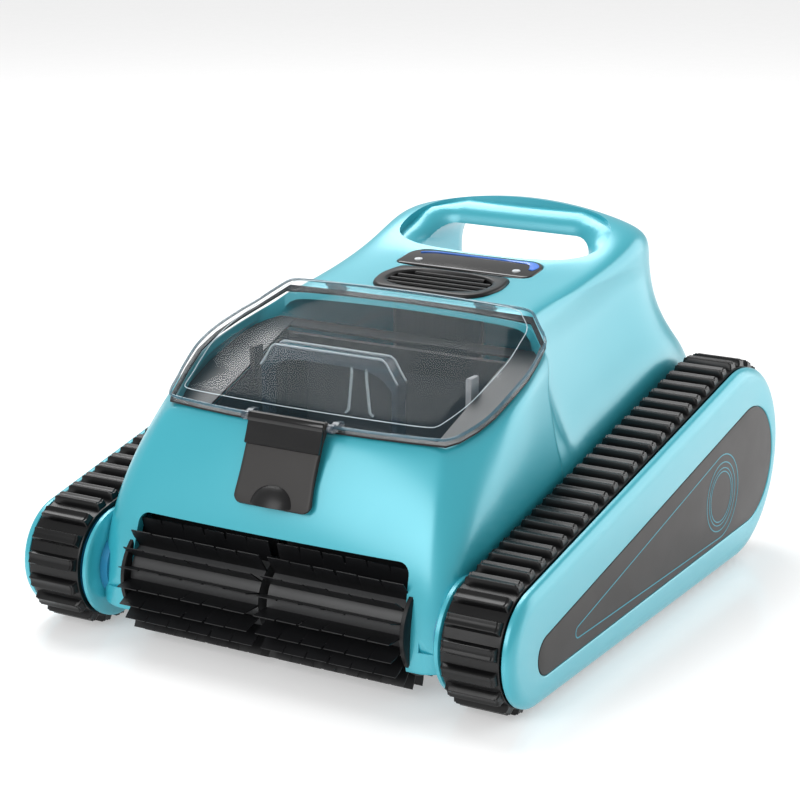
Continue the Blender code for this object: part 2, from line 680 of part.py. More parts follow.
def build_upper_shell():
    shell = wrap_solid("upper_shell", shell_stations(), 10, 6, SHELL_BOTTOM_Z, turquoise())
    for word, side in SIDES:
        disc = rod(side * (BODY_HALF - 0.0045), side * (BODY_HALF + 0.0004), FRONT_RADIUS - 0.0065)
        combine(shell, turned(f"wheel_guard_{word}", disc, "X", FRONT_AXLE, 32), "UNION")
    cavity = wrap_solid("shell_cavity", inner_stations(), 6, 5, SHELL_BOTTOM_Z - 0.0200)
    combine(shell, cavity, "DIFFERENCE")
    bores = (("coupler", FRONT_AXLE, COUPLER_RADIUS + SWEEP / 2), ("rear_axle", REAR_AXLE, 0.0056),
             ("motor", MOTOR_AXIS, 0.0040), ("idler_pin", IDLER_AXIS, 0.0034))
    for name, centre, radius in bores:
        for word, side in SIDES:
            bore = rod(side * (BODY_HALF - 0.0200), side * (BODY_HALF + 0.0100), radius)
            combine(shell, turned(f"{name}_bore_{word}", bore, "X", centre, 14), "DIFFERENCE")
    for word, side in SIDES:
        lug = box(f"hinge_lug_{word}", mirrored((KNUCKLE_X[0] - 0.0060, KNUCKLE_X[1] + 0.0075), side),
                  (HINGE[0] - 0.0052, HINGE[0] + 0.0058), (0.1922, 0.1993))
        combine(shell, lug, "UNION")
    hole = [(HANDLE_FRONT_Y, 0.2700), (HANDLE_FRONT_Y, hand_hole_floor_z(HANDLE_FRONT_Y)),
            (REAR_AXLE[0] + 0.0900, hand_hole_floor_z(REAR_AXLE[0] + 0.0900)),
            (REAR_AXLE[0] + 0.0900, HANDLE_BAR_UNDERSIDE_Z), (HANDLE_BAR_Y, HANDLE_BAR_UNDERSIDE_Z),
            (HANDLE_BAR_Y, 0.2700)]
    combine(shell, prism("hand_hole", hole, "X", -HANDLE_HALF_GAP, HANDLE_HALF_GAP), "DIFFERENCE")
    lid_mouth = prism("lid_mouth", opening(rim_outline(LEDGE)), "Z", 0.1100, 0.2600)
    combine(shell, lid_mouth, "DIFFERENCE")
    for word, side in SIDES:
        notch = box(f"hinge_notch_{word}", mirrored((KNUCKLE_X[0] - 0.0006, KNUCKLE_X[1] + 0.0006), side),
                    (LID_REAR_Y - 0.0008, HINGE[0] + KNUCKLE_RADIUS + 0.0007), (0.1850, 0.2150))
        combine(shell, notch, "DIFFERENCE")
    pin_bore = rod(-HINGE_PIN_HALF - TOUCH, HINGE_PIN_HALF + TOUCH, HINGE_PIN_RADIUS + RUN)
    combine(shell, turned("hinge_bore", pin_bore, "X", HINGE, 11), "DIFFERENCE")
    mouth = box("brush_mouth", (-BRUSH_OPENING_HALF, BRUSH_OPENING_HALF),
                (FRONT_AXLE[0] - 0.0600, CHAMBER_BACK_Y), (-0.0100, CHAMBER_TOP_Z))
    combine(shell, mouth, "DIFFERENCE")
    vent = prism("vent_opening", grille_outline(TOUCH), "Z", 0.1850, 0.2300)
    combine(shell, vent, "DIFFERENCE")
    combine(shell, prism("panel_opening", panel_outline(TOUCH), "Z", 0.1830, 0.2300), "DIFFERENCE")
    shell.modifiers[-1].solver = "MANIFOLD"
    socket = rod(REAR_WALL_Y - 0.0150, REAR_WALL_Y + 0.0100, SOCKET_RADIUS + TOUCH)
    combine(shell, turned("socket_hole", socket, "Y", (0.0, SOCKET_Z), 16), "DIFFERENCE")
    return shell


# ---- Brush -----------------------------------------------------------------------------------------


def build_brush():
    fin = BRUSH_FIN_THICKNESS / 2
    outline = []
    for k in range(BRUSH_FINS):
        angle = 2 * math.pi * k / BRUSH_FINS
        along = (math.cos(angle), math.sin(angle))
        for reach, offset in ((BRUSH_CORE_RADIUS, -fin), (BRUSH_RADIUS, -fin),
                              (BRUSH_RADIUS, fin), (BRUSH_CORE_RADIUS, fin)):
            outline.append((FRONT_AXLE[0] + along[0] * reach - along[1] * offset,
                            FRONT_AXLE[1] + along[1] * reach + along[0] * offset))
    bore = AXLE_RADIUS + RUN
    brush_end = BRUSH_OPENING_HALF - SWEEP
    bracket = (BRUSH_OPENING_HALF + TOUCH, BRUSH_OPENING_HALF + 0.0070)
    plate = [(FRONT_AXLE[0] - 0.0110, 0.0200), (CHAMBER_BACK_Y - 0.0010, 0.0200),
             (CHAMBER_BACK_Y - 0.0010, CHAMBER_TOP_Z), (FRONT_AXLE[0] + 0.0060, CHAMBER_TOP_Z),
             (FRONT_AXLE[0] - 0.0060, 0.0600)]
    for word, side in SIDES:
        low, high = mirrored((BRUSH_HALF_GAP, brush_end), side)
        middle = side * (BRUSH_HALF_GAP + brush_end) / 2
        prism(f"brush_{word}", outline, "X", low, high, rubber(), [circle(FRONT_AXLE, bore, 12)],
              (middle, *FRONT_AXLE))
        reach = [(side * x, r) for x, r in
                 sleeve(brush_end + TOUCH, TRACK_INNER_X + 0.0004, bore, COUPLER_RADIUS)]
        turned(f"brush_coupler_{word}", reach, "X", FRONT_AXLE, 14, black())
        low, high = mirrored(bracket, side)
        prism(f"axle_bracket_{word}", plate, "X", low, high, turquoise(),
              [circle(FRONT_AXLE, COUPLER_RADIUS + SWEEP / 2, 14)])
    arm = 0.0060
    web = BRUSH_HALF_GAP - SWEEP / 2
    ring = [(FRONT_AXLE[0] + 0.0110 * math.cos(a), FRONT_AXLE[1] + 0.0110 * math.sin(a))
            for a in (math.radians(33.0 + 294.0 * i / 9) for i in range(10))]
    wall_y = CHAMBER_BACK_Y - TOUCH
    hanger = [*ring, (wall_y, FRONT_AXLE[1] - arm), (wall_y, FRONT_AXLE[1] + arm)]
    prism("brush_center_bearing", hanger, "X", -web, web, black(), [circle(FRONT_AXLE, bore, 12)])


# ---- Lid, latch and seal --------------------------------------------------------------------------
def lid_patch(inset, rise, crown, columns):
    """The lid's surface rows: the top surface inside the rim, raised, with a crown."""
    rows = shell_stations()[:LID_STATIONS]
    last = len(rows) - 1
    first_u = inset / (rows[1][3] - rows[0][3])
    last_u = last - inset / (rows[last][1] - rows[last - 1][1])
    patch = []
    for i, u in enumerate((first_u, *range(1, last), last_u)):
        along = math.sin(math.pi * min(1.0, (i + 0.9) / (last + 0.9)))
        share = 1 - inset / on_patch(rows, u, 1.0)[0]
        row = []
        for j in range(columns + 1):
            c = 2 * j / columns - 1
            x, y, z = on_patch(rows, u, c * share)
            row.append((x, y, z + rise + crown * (1 - c**4) * along**0.5))
        patch.append(row)
    return patch


def build_lid():
    columns = 10
    bottom_rise = SEAL_SEAT + SEAL_THICKNESS + LID_SEAT
    lower = lid_patch(0.0010, bottom_rise, LID_CROWN, columns)
    upper = lid_patch(0.0010, bottom_rise + LID_THICKNESS, LID_CROWN, columns)
    points = [point for row in lower for point in row] + [point for row in upper for point in row]
    width = columns + 1
    count = len(lower) * width
    faces = []
    for base in (0, count):
        for i in range(len(lower) - 1):
            for j in range(columns):
                a = base + i * width + j
                faces.append((a, a + 1, a + width + 1, a + width))
    last = len(lower) - 1
    rim = [j for j in range(width)] + [i * width + columns for i in range(1, last)]
    rim += [last * width + j for j in range(columns, -1, -1)] + [i * width for i in range(last - 1, 0, -1)]
    for a, b in zip(rim, rim[1:] + rim[:1]):
        faces.append((a, b, b + count, a + count))
    lid = make("lid", points, faces, clear(), (0.0, *HINGE), sharp=40.0)
    for word, side in SIDES:
        flange = box(f"lid_flange_{word}", mirrored(KNUCKLE_X, side), (LID_REAR_Y - 0.0045, HINGE[0] - 0.0030),
                     (0.2023, 0.2048))
        combine(lid, flange, "UNION")
        arm = box(f"lid_arm_{word}", mirrored(KNUCKLE_X, side), (HINGE[0] - 0.0054, HINGE[0] - 0.0031),
                  (HINGE[1] - 0.0020, 0.2035))
        combine(lid, arm, "UNION")
        knuckle = rod(side * KNUCKLE_X[0], side * KNUCKLE_X[1], KNUCKLE_RADIUS)
        combine(lid, turned(f"lid_knuckle_{word}", knuckle, "X", HINGE, 14), "UNION")
        bore = rod(side * (KNUCKLE_X[0] - 0.0050), side * (KNUCKLE_X[1] + 0.0050), HINGE_PIN_RADIUS + RUN)
        combine(lid, turned(f"lid_pin_bore_{word}", bore, "X", HINGE, 10), "DIFFERENCE")
        ear_x = mirrored((LATCH_HALF_WIDTH + 0.0007, LATCH_HALF_WIDTH + 0.0050), side)
        y, z = LATCH_PIN
        ear = [(y - 0.0030, z - 0.0030), (LID_FRONT_Y + 0.0006, z - 0.0030), (LID_FRONT_Y + 0.0030, z - 0.0006),
               (LID_FRONT_Y + 0.0080, z + 0.0002), (LID_FRONT_Y + 0.0080, z + 0.0030), (y - 0.0030, z + 0.0030)]
        combine(lid, prism(f"latch_ear_{word}", ear, "X", *ear_x), "UNION")
    latch_bore = rod(-LATCH_HALF_WIDTH - 0.0030, LATCH_HALF_WIDTH + 0.0030, LATCH_PIN_RADIUS + RUN)
    combine(lid, turned("latch_pin_bore", latch_bore, "X", LATCH_PIN, 10), "DIFFERENCE")
    turned("lid_hinge_pin", rod(-HINGE_PIN_HALF, HINGE_PIN_HALF, HINGE_PIN_RADIUS), "X", HINGE, 10, steel())
    reach = LATCH_HALF_WIDTH + 0.0025
    turned("latch_pin", rod(-reach, reach, LATCH_PIN_RADIUS), "X", LATCH_PIN, 10, steel())


def build_seal():
    """A flat gasket that follows the shelf round the lid opening."""
    outer = rim_outline(0.0018)
    inner = rim_outline(LEDGE - 0.0006)
    points = []
    top = SEAL_SEAT + SEAL_THICKNESS
    for loop, rise in ((outer, SEAL_SEAT), (inner, SEAL_SEAT), (inner, top), (outer, top)):
        points += [(x, y, z + rise) for x, y, z in loop]
    count = len(outer)
    faces = []
    for k in range(4):
        for i in range(count):
            j = (i + 1) % count
            following = (k + 1) % 4
            faces.append((k * count + i, k * count + j, following * count + j, following * count + i))
    return make("lid_seal", points, faces, rubber())


def latch_outline():
    """Side view of the latch: a barrel round its pin, and a plate down the fascia."""
    y, z = LATCH_PIN
    barrel = 0.0036
    plate = [(y - 0.0196, z - 0.0500), (y - 0.0190, z - 0.0475), (y - 0.0052, z - 0.0150)]
    start = math.radians(228.0)
    arc = [(y + barrel * math.cos(a), z + barrel * math.sin(a))
           for a in (start + math.radians(300.0) * i / 12 for i in range(13))]
    back = [(y - 0.0078, z - 0.0150), (y - 0.0217, z - 0.0475), (y - 0.0222, z - 0.0500)]
    return plate + arc + back


def build_latch():
    barrel_bore = circle(LATCH_PIN, LATCH_PIN_RADIUS + RUN, 10)
    latch = prism("latch", latch_outline(), "X", -LATCH_HALF_WIDTH, LATCH_HALF_WIDTH, charcoal(),
                  [barrel_bore], (0.0, *LATCH_PIN))
    dome_rows = 4
    dome = [(LATCH_PIN[0] - 0.0165, 0.0)]
    for i in range(dome_rows + 1):
        angle = math.pi / 2 * i / dome_rows
        dome.append((LATCH_PIN[0] - 0.0190 - 0.0065 * math.sin(angle), 0.0100 * math.cos(angle)))
    dome[-1] = (dome[-1][0], 0.0)
    grip = turned("latch_grip", dome, "Y", (0.0, LATCH_PIN[1] - 0.0390), 16)
    combine(latch, grip, "UNION")


# ---- Debris basket ---------------------------------------------------------------------------------


def lid_line_z(y):
    """Height of the lid's rim along its side, by straight interpolation between its stations."""
    rows = shell_stations()[:LID_STATIONS]
    return float(np.interp(y, [row[1] for row in rows], [row[2] for row in rows]))


def basket_outline(inset, top_margin):
    step_y = LID_FRONT_Y + 0.0230
    step_z = CHAMBER_TOP_Z + 0.0070
    front = step_y + inset
    low = BASKET_FLOOR_Z + inset
    rear = BASKET_Y[1] - inset
    return [(front, 0.1360 + top_margin), (front, step_z + inset), (BASKET_Y[0] + inset, step_z + inset),
            (BASKET_Y[0] + inset, low), (rear, low), (rear, 0.1730 + top_margin)]


def build_basket():
    half = BASKET_HALF
    basket = prism("filter_basket", basket_outline(0.0, 0.0), "X", -half, half, charcoal())
    inside = prism("basket_inside", basket_outline(BASKET_WALL, 0.0500), "X",
                   -half + BASKET_WALL, half - BASKET_WALL)
    combine(basket, inside, "DIFFERENCE")
    inlet = box("basket_inlet", (-INLET_HALF, INLET_HALF), INLET_Y,
                (BASKET_FLOOR_Z - 0.0100, BASKET_FLOOR_Z + 0.0100))
    combine(basket, inlet, "DIFFERENCE")
    window_z = (BASKET_FLOOR_Z + 0.0180, 0.1560)
    window = box("basket_window", (-0.0680, 0.0680), (BASKET_Y[1] - 0.0100, BASKET_Y[1] + 0.0100), window_z)
    combine(basket, window, "DIFFERENCE")
    box("filter_mesh", (-0.0680 + TOUCH, 0.0680 - TOUCH),
        (BASKET_Y[1] - BASKET_WALL + 0.0006, BASKET_Y[1] - 0.0006),
        (window_z[0] + TOUCH, window_z[1] - TOUCH), paint("filter_mesh", (0.6, 0.6, 0.6), 0.8))
    base_z = BASKET_FLOOR_Z + BASKET_WALL + TOUCH
    post, top_z = BASKET_GRIP_POST, BASKET_GRIP_TOP_Z
    low, high = BASKET_GRIP_X - BASKET_GRIP_HALF, BASKET_GRIP_X + BASKET_GRIP_HALF
    grip = [(low, base_z), (low + post, base_z), (low + post, top_z - 0.0160),
            (low + 0.0130, top_z - 0.0060), (high - 0.0130, top_z - 0.0060),
            (high - post, top_z - 0.0160), (high - post, base_z), (high, base_z),
            (high, top_z - 0.0130), (high - 0.0110, top_z), (low + 0.0110, top_z),
            (low, top_z - 0.0130)]
    middle = (BASKET_Y[0] + BASKET_Y[1]) / 2
    prism("basket_handle", grip, "Y", middle - 0.0060, middle + 0.0060, clear())
    flap_z = BASKET_FLOOR_Z + BASKET_WALL + TOUCH
    hinge_y = INLET_Y[1] + 0.0030
    flap = [(INLET_Y[0] - 0.0015, flap_z), (hinge_y, flap_z), (hinge_y + 0.0015, flap_z + 0.0016),
            (hinge_y, flap_z + 0.0032), (hinge_y - 0.0030, flap_z + 0.0016),
            (INLET_Y[0] - 0.0015, flap_z + 0.0016)]
    prism("inlet_flap", flap, "X", -INLET_HALF - 0.0020, INLET_HALF + 0.0020, rubber(),
          origin=(0.0, hinge_y, flap_z + 0.0016))


def build_chassis():
    inside = BODY_HALF - SHELL_WALL - 0.0008
    rear = REAR_WALL_Y - SHELL_WALL - 0.0050
    tray = box("base_chassis", (-inside, inside), (CHAMBER_BACK_Y + TOUCH, rear),
               (CHASSIS_BOTTOM_Z, CHASSIS_TOP_Z), black())
    wall = box("chassis_front", (-BRUSH_OPENING_HALF, BRUSH_OPENING_HALF),
               (CHAMBER_BACK_Y + TOUCH, CHAMBER_BACK_Y + TOUCH + 0.0030),
               (CHASSIS_BOTTOM_Z + 0.0010, CHAMBER_TOP_Z + 0.0040))
    combine(tray, wall, "UNION")
    for word, side in SIDES:
        plate = box(f"chassis_side_{word}", mirrored((inside - 0.0080, inside - 0.0040), side),
                    (MOTOR_AXIS[0] - 0.0250, REAR_AXLE[0] + 0.0200),
                    (CHASSIS_BOTTOM_Z + 0.0010, REAR_AXLE[1] + 0.0200))
        combine(tray, plate, "UNION")
        for name, centre, radius in (("axle", REAR_AXLE, AXLE_RADIUS + 0.0010 + TOUCH),
                                     ("shaft", MOTOR_AXIS, 0.0036)):
            bore = rod(side * (inside - 0.0120), side * (inside + 0.0050), radius)
            combine(tray, turned(f"chassis_{name}_hole_{word}", bore, "X", centre, 14), "DIFFERENCE")
    inlet = box("chassis_inlet", (-INLET_HALF, INLET_HALF), INLET_Y,
                (CHASSIS_BOTTOM_Z - 0.0050, CHASSIS_TOP_Z + 0.0050))
    combine(tray, inlet, "DIFFERENCE")
    places = [(x, y) for y in (CHAMBER_BACK_Y + 0.0300, REAR_AXLE[0] + 0.0350) for x in (-0.1000, 0.1000)]
    for number, place in enumerate(places, 1):
        hole = rod(CHASSIS_BOTTOM_Z - 0.0050, CHASSIS_TOP_Z + 0.0050, 0.0021)
        combine(tray, turned(f"screw_hole_{number}", hole, "Z", place, 10), "DIFFERENCE")
        head = CHASSIS_BOTTOM_Z - TOUCH
        screw = [(head - 0.0026, 0.0), (head - 0.0026, 0.0032), (head - 0.0010, 0.0040), (head, 0.0040),
                 (head, 0.0017), (CHASSIS_TOP_Z + 0.0100, 0.0017), (CHASSIS_TOP_Z + 0.0120, 0.0)]
        turned(f"chassis_screw_{number}", screw, "Z", place, 12, steel())
    duct_wall = 0.0030
    half, low, high = INLET_HALF, *INLET_Y
    inner = [(-half, low), (half, low), (half, high), (-half, high)]
    half, low, high = half + duct_wall, low - duct_wall, high + duct_wall
    outer = [(-half, low), (half, low), (half, high), (-half, high)]
    prism("inlet_duct", outer, "Z", CHASSIS_TOP_Z + TOUCH, BASKET_FLOOR_Z - TOUCH, black(), [inner])


# ---- Deck: outlet grille, control panel, buttons -----------------------------------------------------
def grille_outline(grow):
    """The vent's outline in plan: straight front and rear, sides bowed to a blunt point."""
    low, high = GRILLE_Y
    half = 0.0430 + grow
    tip = 0.0475 + grow
    nose = 0.0340 + grow
    return [(-nose, low - grow), (nose, low - grow), (half, low + 0.0080), (tip, low + 0.0270),
            (half, high + grow), (-half, high + grow), (-tip, low + 0.0270), (-half, low + 0.0080)]


def panel_outline(grow):
    """The control panel in plan: a straight front edge and rounded rear corners."""
    low, high = PANEL_Y
    half = 0.0530 + grow
    corner = 0.0140
    outline = [(-half + 0.0060, low - grow), (half - 0.0060, low - grow), (half, low + 0.0060)]
    for sign, start in ((1, 0.0), (-1, math.pi / 2)):
        for i in range(5):
            angle = start + math.pi / 2 * i / 4
            outline.append((sign * (half - corner) + corner * math.cos(angle),
                            high + grow - corner + corner * math.sin(angle)))
    outline.append((-half, low + 0.0060))
    return outline


def deck_z(y):
    """Height of the deck at mid width."""
    rows = shell_stations()
    return float(np.interp(y, [row[3] for row in rows], [row[4] for row in rows]))


def slanted(body, low, rise):
    """Lifts the upper points of a flat piece so that its top follows the deck."""
    for vertex in body.data.vertices:
        world = vertex.co + body.location
        if world.z > low:
            vertex.co.z += deck_z(world.y) + rise - world.z
    return body


def build_deck():
    slots = []
    for k, half in enumerate((0.0240, 0.0300, 0.0300, 0.0240)):
        centre = GRILLE_Y[0] + 0.0120 + 0.0090 * k
        near, far = centre - 0.0020, centre + 0.0020
        slots.append([(-half, near), (half, near), (half, far), (-half, far)])
    slanted(prism("outlet_grille", grille_outline(0.0), "Z", 0.1965, 0.2060, gloss(), slots), 0.2000, 0.0030)
    buttons = (("power_button", BUTTON_X), ("mode_button", -BUTTON_X))
    button_y = PANEL_Y[0] + 0.0095
    wells = [circle((x, button_y), BUTTON_RADIUS + RUN, 14) for _, x in buttons]
    slanted(prism("control_panel", panel_outline(0.0), "Z", 0.1995, 0.2060, gloss(), wells), 0.2000, 0.0024)
    for name, x in buttons:
        top = deck_z(button_y) + 0.0030
        turned(name, rod(top - 0.0070, top, BUTTON_RADIUS), "Z", (x, button_y), 14,
               paint("button_white", (0.9, 0.9, 0.9), 0.4), origin=(x, button_y, top))
    inner, outer = 0.0085, 0.0042
    low, high = PANEL_Y
    corner = (0.0530 - 0.0140, high - 0.0140)
    arc = [(corner[0] + (0.0140 - outer) * math.cos(a), corner[1] + (0.0140 - outer) * math.sin(a))
           for a in (math.pi / 2 * i / 4 for i in range(5))]
    back = [(corner[0] + (0.0140 - inner) * math.cos(a), corner[1] + (0.0140 - inner) * math.sin(a))
            for a in (math.pi / 2 * i / 4 for i in range(4, -1, -1))]
    strip = [(0.0530 - outer, low + 0.0140), *arc, (-0.0400, high - outer), (-0.0400, high - outer - 0.0022),
             *back, (0.0530 - inner, low + 0.0140)]
    light = prism("status_light", strip, "Z", 0.2050, 0.2100, paint("status_blue", (0.1, 0.22, 0.75), 0.3))
    for vertex in light.data.vertices:
        lifted = 0.0006 if vertex.co.z > 0.2075 else 0.0
        vertex.co.z = deck_z(vertex.co.y) + 0.0024 + TOUCH + lifted


# ---- Inside --------------------------------------------------------------------------------------
def bevelled(body, width):
    """Rounds a plain block's edges with one flat."""
    modifier = body.modifiers.new("edges", "BEVEL")
    modifier.width = width
    modifier.segments = 1
    modifier.limit_method = "ANGLE"
    return body


def build_inside():
    pump = (0.0, PUMP_Y)
    duct_radius = 0.0310
    turned("pump_duct", sleeve(0.1500, 0.1935, duct_radius - 0.0025, duct_radius), "Z", pump, 28, black())
    floor = CHASSIS_TOP_Z + TOUCH
    turned("pump_motor",
           [(floor, 0.0), (floor, 0.0150), (0.0640, 0.0150), (0.0640, 0.0190),
            (0.1400, 0.0190), (0.1400, 0.0070), (0.1480, 0.0070),
            (0.1480, 0.0025), (0.1760, 0.0025), (0.1760, 0.0)], "Z", pump, 20, steel())
    build_propeller(pump, duct_radius - 0.0045)
    bevelled(box("battery_pack", (-0.0560, 0.0560), (PUMP_Y + 0.0280, REAR_WALL_Y - 0.0320),
                 (floor, floor + 0.0400),
                 paint("battery_wrap", (0.05, 0.16, 0.32), 0.5)), 0.0040)
    board_z = floor + 0.0400 + TOUCH
    box("control_board", (-0.0450, 0.0450), (PUMP_Y + 0.0350, REAR_WALL_Y - 0.0450),
        (board_z, board_z + 0.0016),
        paint("board_green", (0.03, 0.22, 0.10), 0.5))
    for word, side in SIDES:
        bevelled(box(f"float_block_{word}", mirrored((BASKET_HALF + 0.0040, BASKET_HALF + 0.0220), side),
                     (BASKET_Y[0], LID_REAR_Y - 0.0100), (0.0500, 0.1200),
                     paint("float_foam", (0.85, 0.85, 0.82), 0.9)), 0.0040)


def build_propeller(centre, radius):
    """Four blades round a hub: one outline, twisted as it rises."""
    blades = 4
    hub = 0.0080
    outline = []
    for k in range(blades):
        middle = 2 * math.pi * k / blades
        for reach, turn in ((hub, -0.30), (radius, -0.34), (radius, 0.10), (hub, 0.10)):
            angle = middle + turn
            outline.append((centre[0] + reach * math.cos(angle), centre[1] + reach * math.sin(angle)))
    low, high = 0.1600, 0.1720
    twist = math.radians(26.0)
    bore = circle(centre, 0.0025 + RUN, 10)
    body = prism("propeller", outline, "Z", low, high, charcoal(), [bore], (*centre, low))
    for vertex in body.data.vertices:
        if vertex.co.z > (high - low) / 2 and vertex.co.to_2d().length > hub * 0.8:
            vertex.co.xy = Matrix.Rotation(twist, 2) @ vertex.co.xy
    return body


def build_charging_port():
    """A socket in the rear wall, under a cap that swings up."""
    turned("charging_socket", rod(REAR_WALL_Y - 0.0110, REAR_WALL_Y - 0.0006, SOCKET_RADIUS), "Y",
           (0.0, SOCKET_Z), 16, black())
    face = REAR_WALL_Y + 0.0006
    hinge = (face + 0.0024, SOCKET_Z + 0.0170)
    cap = [(-0.0130, hinge[1]), (-0.0130, SOCKET_Z - 0.0060)]
    for i in range(7):
        angle = math.pi + math.pi * i / 6
        cap.append((0.0130 * math.cos(angle), SOCKET_Z - 0.0060 + 0.0130 * math.sin(angle)))
    cap += [(0.0130, SOCKET_Z - 0.0060), (0.0130, hinge[1])]
    unique = list(dict.fromkeys((round(a, 6), round(b, 6)) for a, b in cap))
    prism("charging_cap", unique, "Y", face, face + 0.0048, rubber(), origin=(0.0, *hinge))


def main():
    for leftover in list(bpy.data.objects):
        bpy.data.objects.remove(leftover, do_unlink=True)
    build_tracks()
    build_running_gear()
    build_track_frames()
    build_side_covers()
    build_upper_shell()
    build_brush()
    build_lid()
    build_seal()
    build_latch()
    build_basket()
    build_chassis()
    build_deck()
    build_inside()
    build_charging_port()


main()
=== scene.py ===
"""The looks of a cordless tracked pool cleaner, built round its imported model.

Metres, +Z up, front towards -Y. Every new piece is a surface worked out with numpy, and each finish is
a procedural material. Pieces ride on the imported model's bodies.
"""

import json
import logging
import math
from dataclasses import dataclass
from enum import Enum

import bmesh
import bpy
import numpy as np
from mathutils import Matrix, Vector

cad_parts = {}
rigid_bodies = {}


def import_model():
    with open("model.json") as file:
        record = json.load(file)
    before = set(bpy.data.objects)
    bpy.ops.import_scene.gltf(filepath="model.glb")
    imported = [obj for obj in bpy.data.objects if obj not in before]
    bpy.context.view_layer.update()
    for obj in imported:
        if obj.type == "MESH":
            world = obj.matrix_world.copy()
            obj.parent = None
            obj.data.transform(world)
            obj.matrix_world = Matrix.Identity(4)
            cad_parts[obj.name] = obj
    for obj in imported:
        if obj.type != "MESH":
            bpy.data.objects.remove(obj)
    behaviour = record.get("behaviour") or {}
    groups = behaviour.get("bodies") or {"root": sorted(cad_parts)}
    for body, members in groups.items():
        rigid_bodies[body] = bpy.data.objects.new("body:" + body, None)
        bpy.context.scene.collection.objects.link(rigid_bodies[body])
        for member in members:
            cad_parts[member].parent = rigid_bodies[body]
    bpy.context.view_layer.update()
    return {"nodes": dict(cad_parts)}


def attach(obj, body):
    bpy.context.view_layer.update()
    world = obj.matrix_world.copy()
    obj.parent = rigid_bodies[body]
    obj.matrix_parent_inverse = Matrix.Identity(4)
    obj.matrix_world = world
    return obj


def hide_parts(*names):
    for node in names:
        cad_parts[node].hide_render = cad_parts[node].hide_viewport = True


Array = np.ndarray
Colour = tuple[float, float, float]
LOG = logging.getLogger("pool_cleaner")


class Side(Enum):
    """The two sides of the machine, with the sign of their X."""

    LEFT = -1
    RIGHT = 1

    @property
    def word(self) -> str:
        """The side's name in lower case."""
        return self.name.lower()


# ---- Sizes shared by several sub-assemblies ------------------------------------------------------
FRONT_AXLE = np.array((-0.16895, 0.0428))
REAR_AXLE = np.array((0.13865, 0.0731))
FRONT_RADIUS = 0.0428
REAR_RADIUS = 0.0731
BODY_HALF = 0.1310
LID_FRONT_Y = -0.15755
LID_REAR_Y = -0.01255
SHELL_BOTTOM_Z = 0.0180
HANDLE_FRONT_Y = 0.09995
HANDLE_BAR_Y = 0.13945
BAR_UNDERSIDE_Z = 0.2210
GRILLE_Y = (0.00195, 0.05195)
PANEL_Y = (0.05715, 0.08945)
PANEL_HALF = 0.0530
LATCH_PIN = (-0.16125, 0.1536)
LID_STATIONS = 10
HOLE_FLOOR_Z = 0.1950
HOLE_FLOOR_FALL = 0.55
MOUTH_HEIGHT = 0.0480


# ---- Surfaces ------------------------------------------------------------------------------------
def strip_faces(rows: int, columns: int, round_rows: bool = False, round_columns: bool = False) -> Array:
    """Quads of a grid of points stored row by row.

    Args:
        rows: number of rows.
        columns: number of points in a row.
        round_rows: joins the last row to the first.
        round_columns: joins each row's last point to its first.

    Returns:
        An array of four indices per face.
    """
    i = np.arange(rows if round_rows else rows - 1)
    j = np.arange(columns if round_columns else columns - 1)
    i, j = (a.ravel() for a in np.meshgrid(i, j, indexing="ij"))
    following, beside = (i + 1) % rows, (j + 1) % columns
    return np.stack((i * columns + j, i * columns + beside,
                     following * columns + beside, following * columns + j), axis=1)


def put_mesh(name: str, points: Array, faces: list, smooth_angle: float = 40.0) -> bpy.types.Object:
    """Makes an object at the origin from points and faces, with outward normals.

    Args:
        name: object name.
        points: n by 3 array.
        faces: index lists, or an array of quads.
        smooth_angle: edges sharper than this many degrees stay sharp.

    Returns:
        The linked object.
    """
    mesh = bpy.data.meshes.new(name)
    mesh.from_pydata(np.asarray(points, float).reshape(-1, 3).tolist(), [], [tuple(f) for f in faces])
    mesh.validate()
    tidy_normals(mesh)
    mesh.shade_smooth()
    mesh.set_sharp_from_angle(angle=math.radians(smooth_angle))
    made = bpy.data.objects.new(name, mesh)
    bpy.context.scene.collection.objects.link(made)
    return made


def tidy_normals(mesh: bpy.types.Mesh) -> None:
    """Merges doubled points and turns every face outwards."""
    work = bmesh.new()
    work.from_mesh(mesh)
    bmesh.ops.remove_doubles(work, verts=work.verts, dist=1e-6)
    bmesh.ops.recalc_face_normals(work, faces=work.faces)
    work.to_mesh(mesh)
    work.free()


def read_points(mesh: bpy.types.Mesh) -> Array:
    """The mesh's points as an n by 3 array."""
    points = np.empty(len(mesh.vertices) * 3)
    mesh.vertices.foreach_get("co", points)
    return points.reshape(-1, 3)


def write_points(mesh: bpy.types.Mesh, points: Array) -> None:
    """Puts changed points back into a mesh."""
    mesh.vertices.foreach_set("co", points.ravel())
    mesh.update()


def tube_faces(rows: int, columns: int) -> list:
    """Faces of closed loops stacked in rows, with the first and last loop capped."""
    faces = strip_faces(rows, columns, round_columns=True).tolist()
    faces.append(list(range(columns)))
    faces.append([(rows - 1) * columns + j for j in range(columns)])
    return faces


def stack(name: str, loops: list[Array], smooth_angle: float = 40.0) -> bpy.types.Object:
    """A closed body from equal closed loops, each an n by 3 array, capped at both ends."""
    return put_mesh(name, np.concatenate(loops), tube_faces(len(loops), len(loops[0])), smooth_angle)


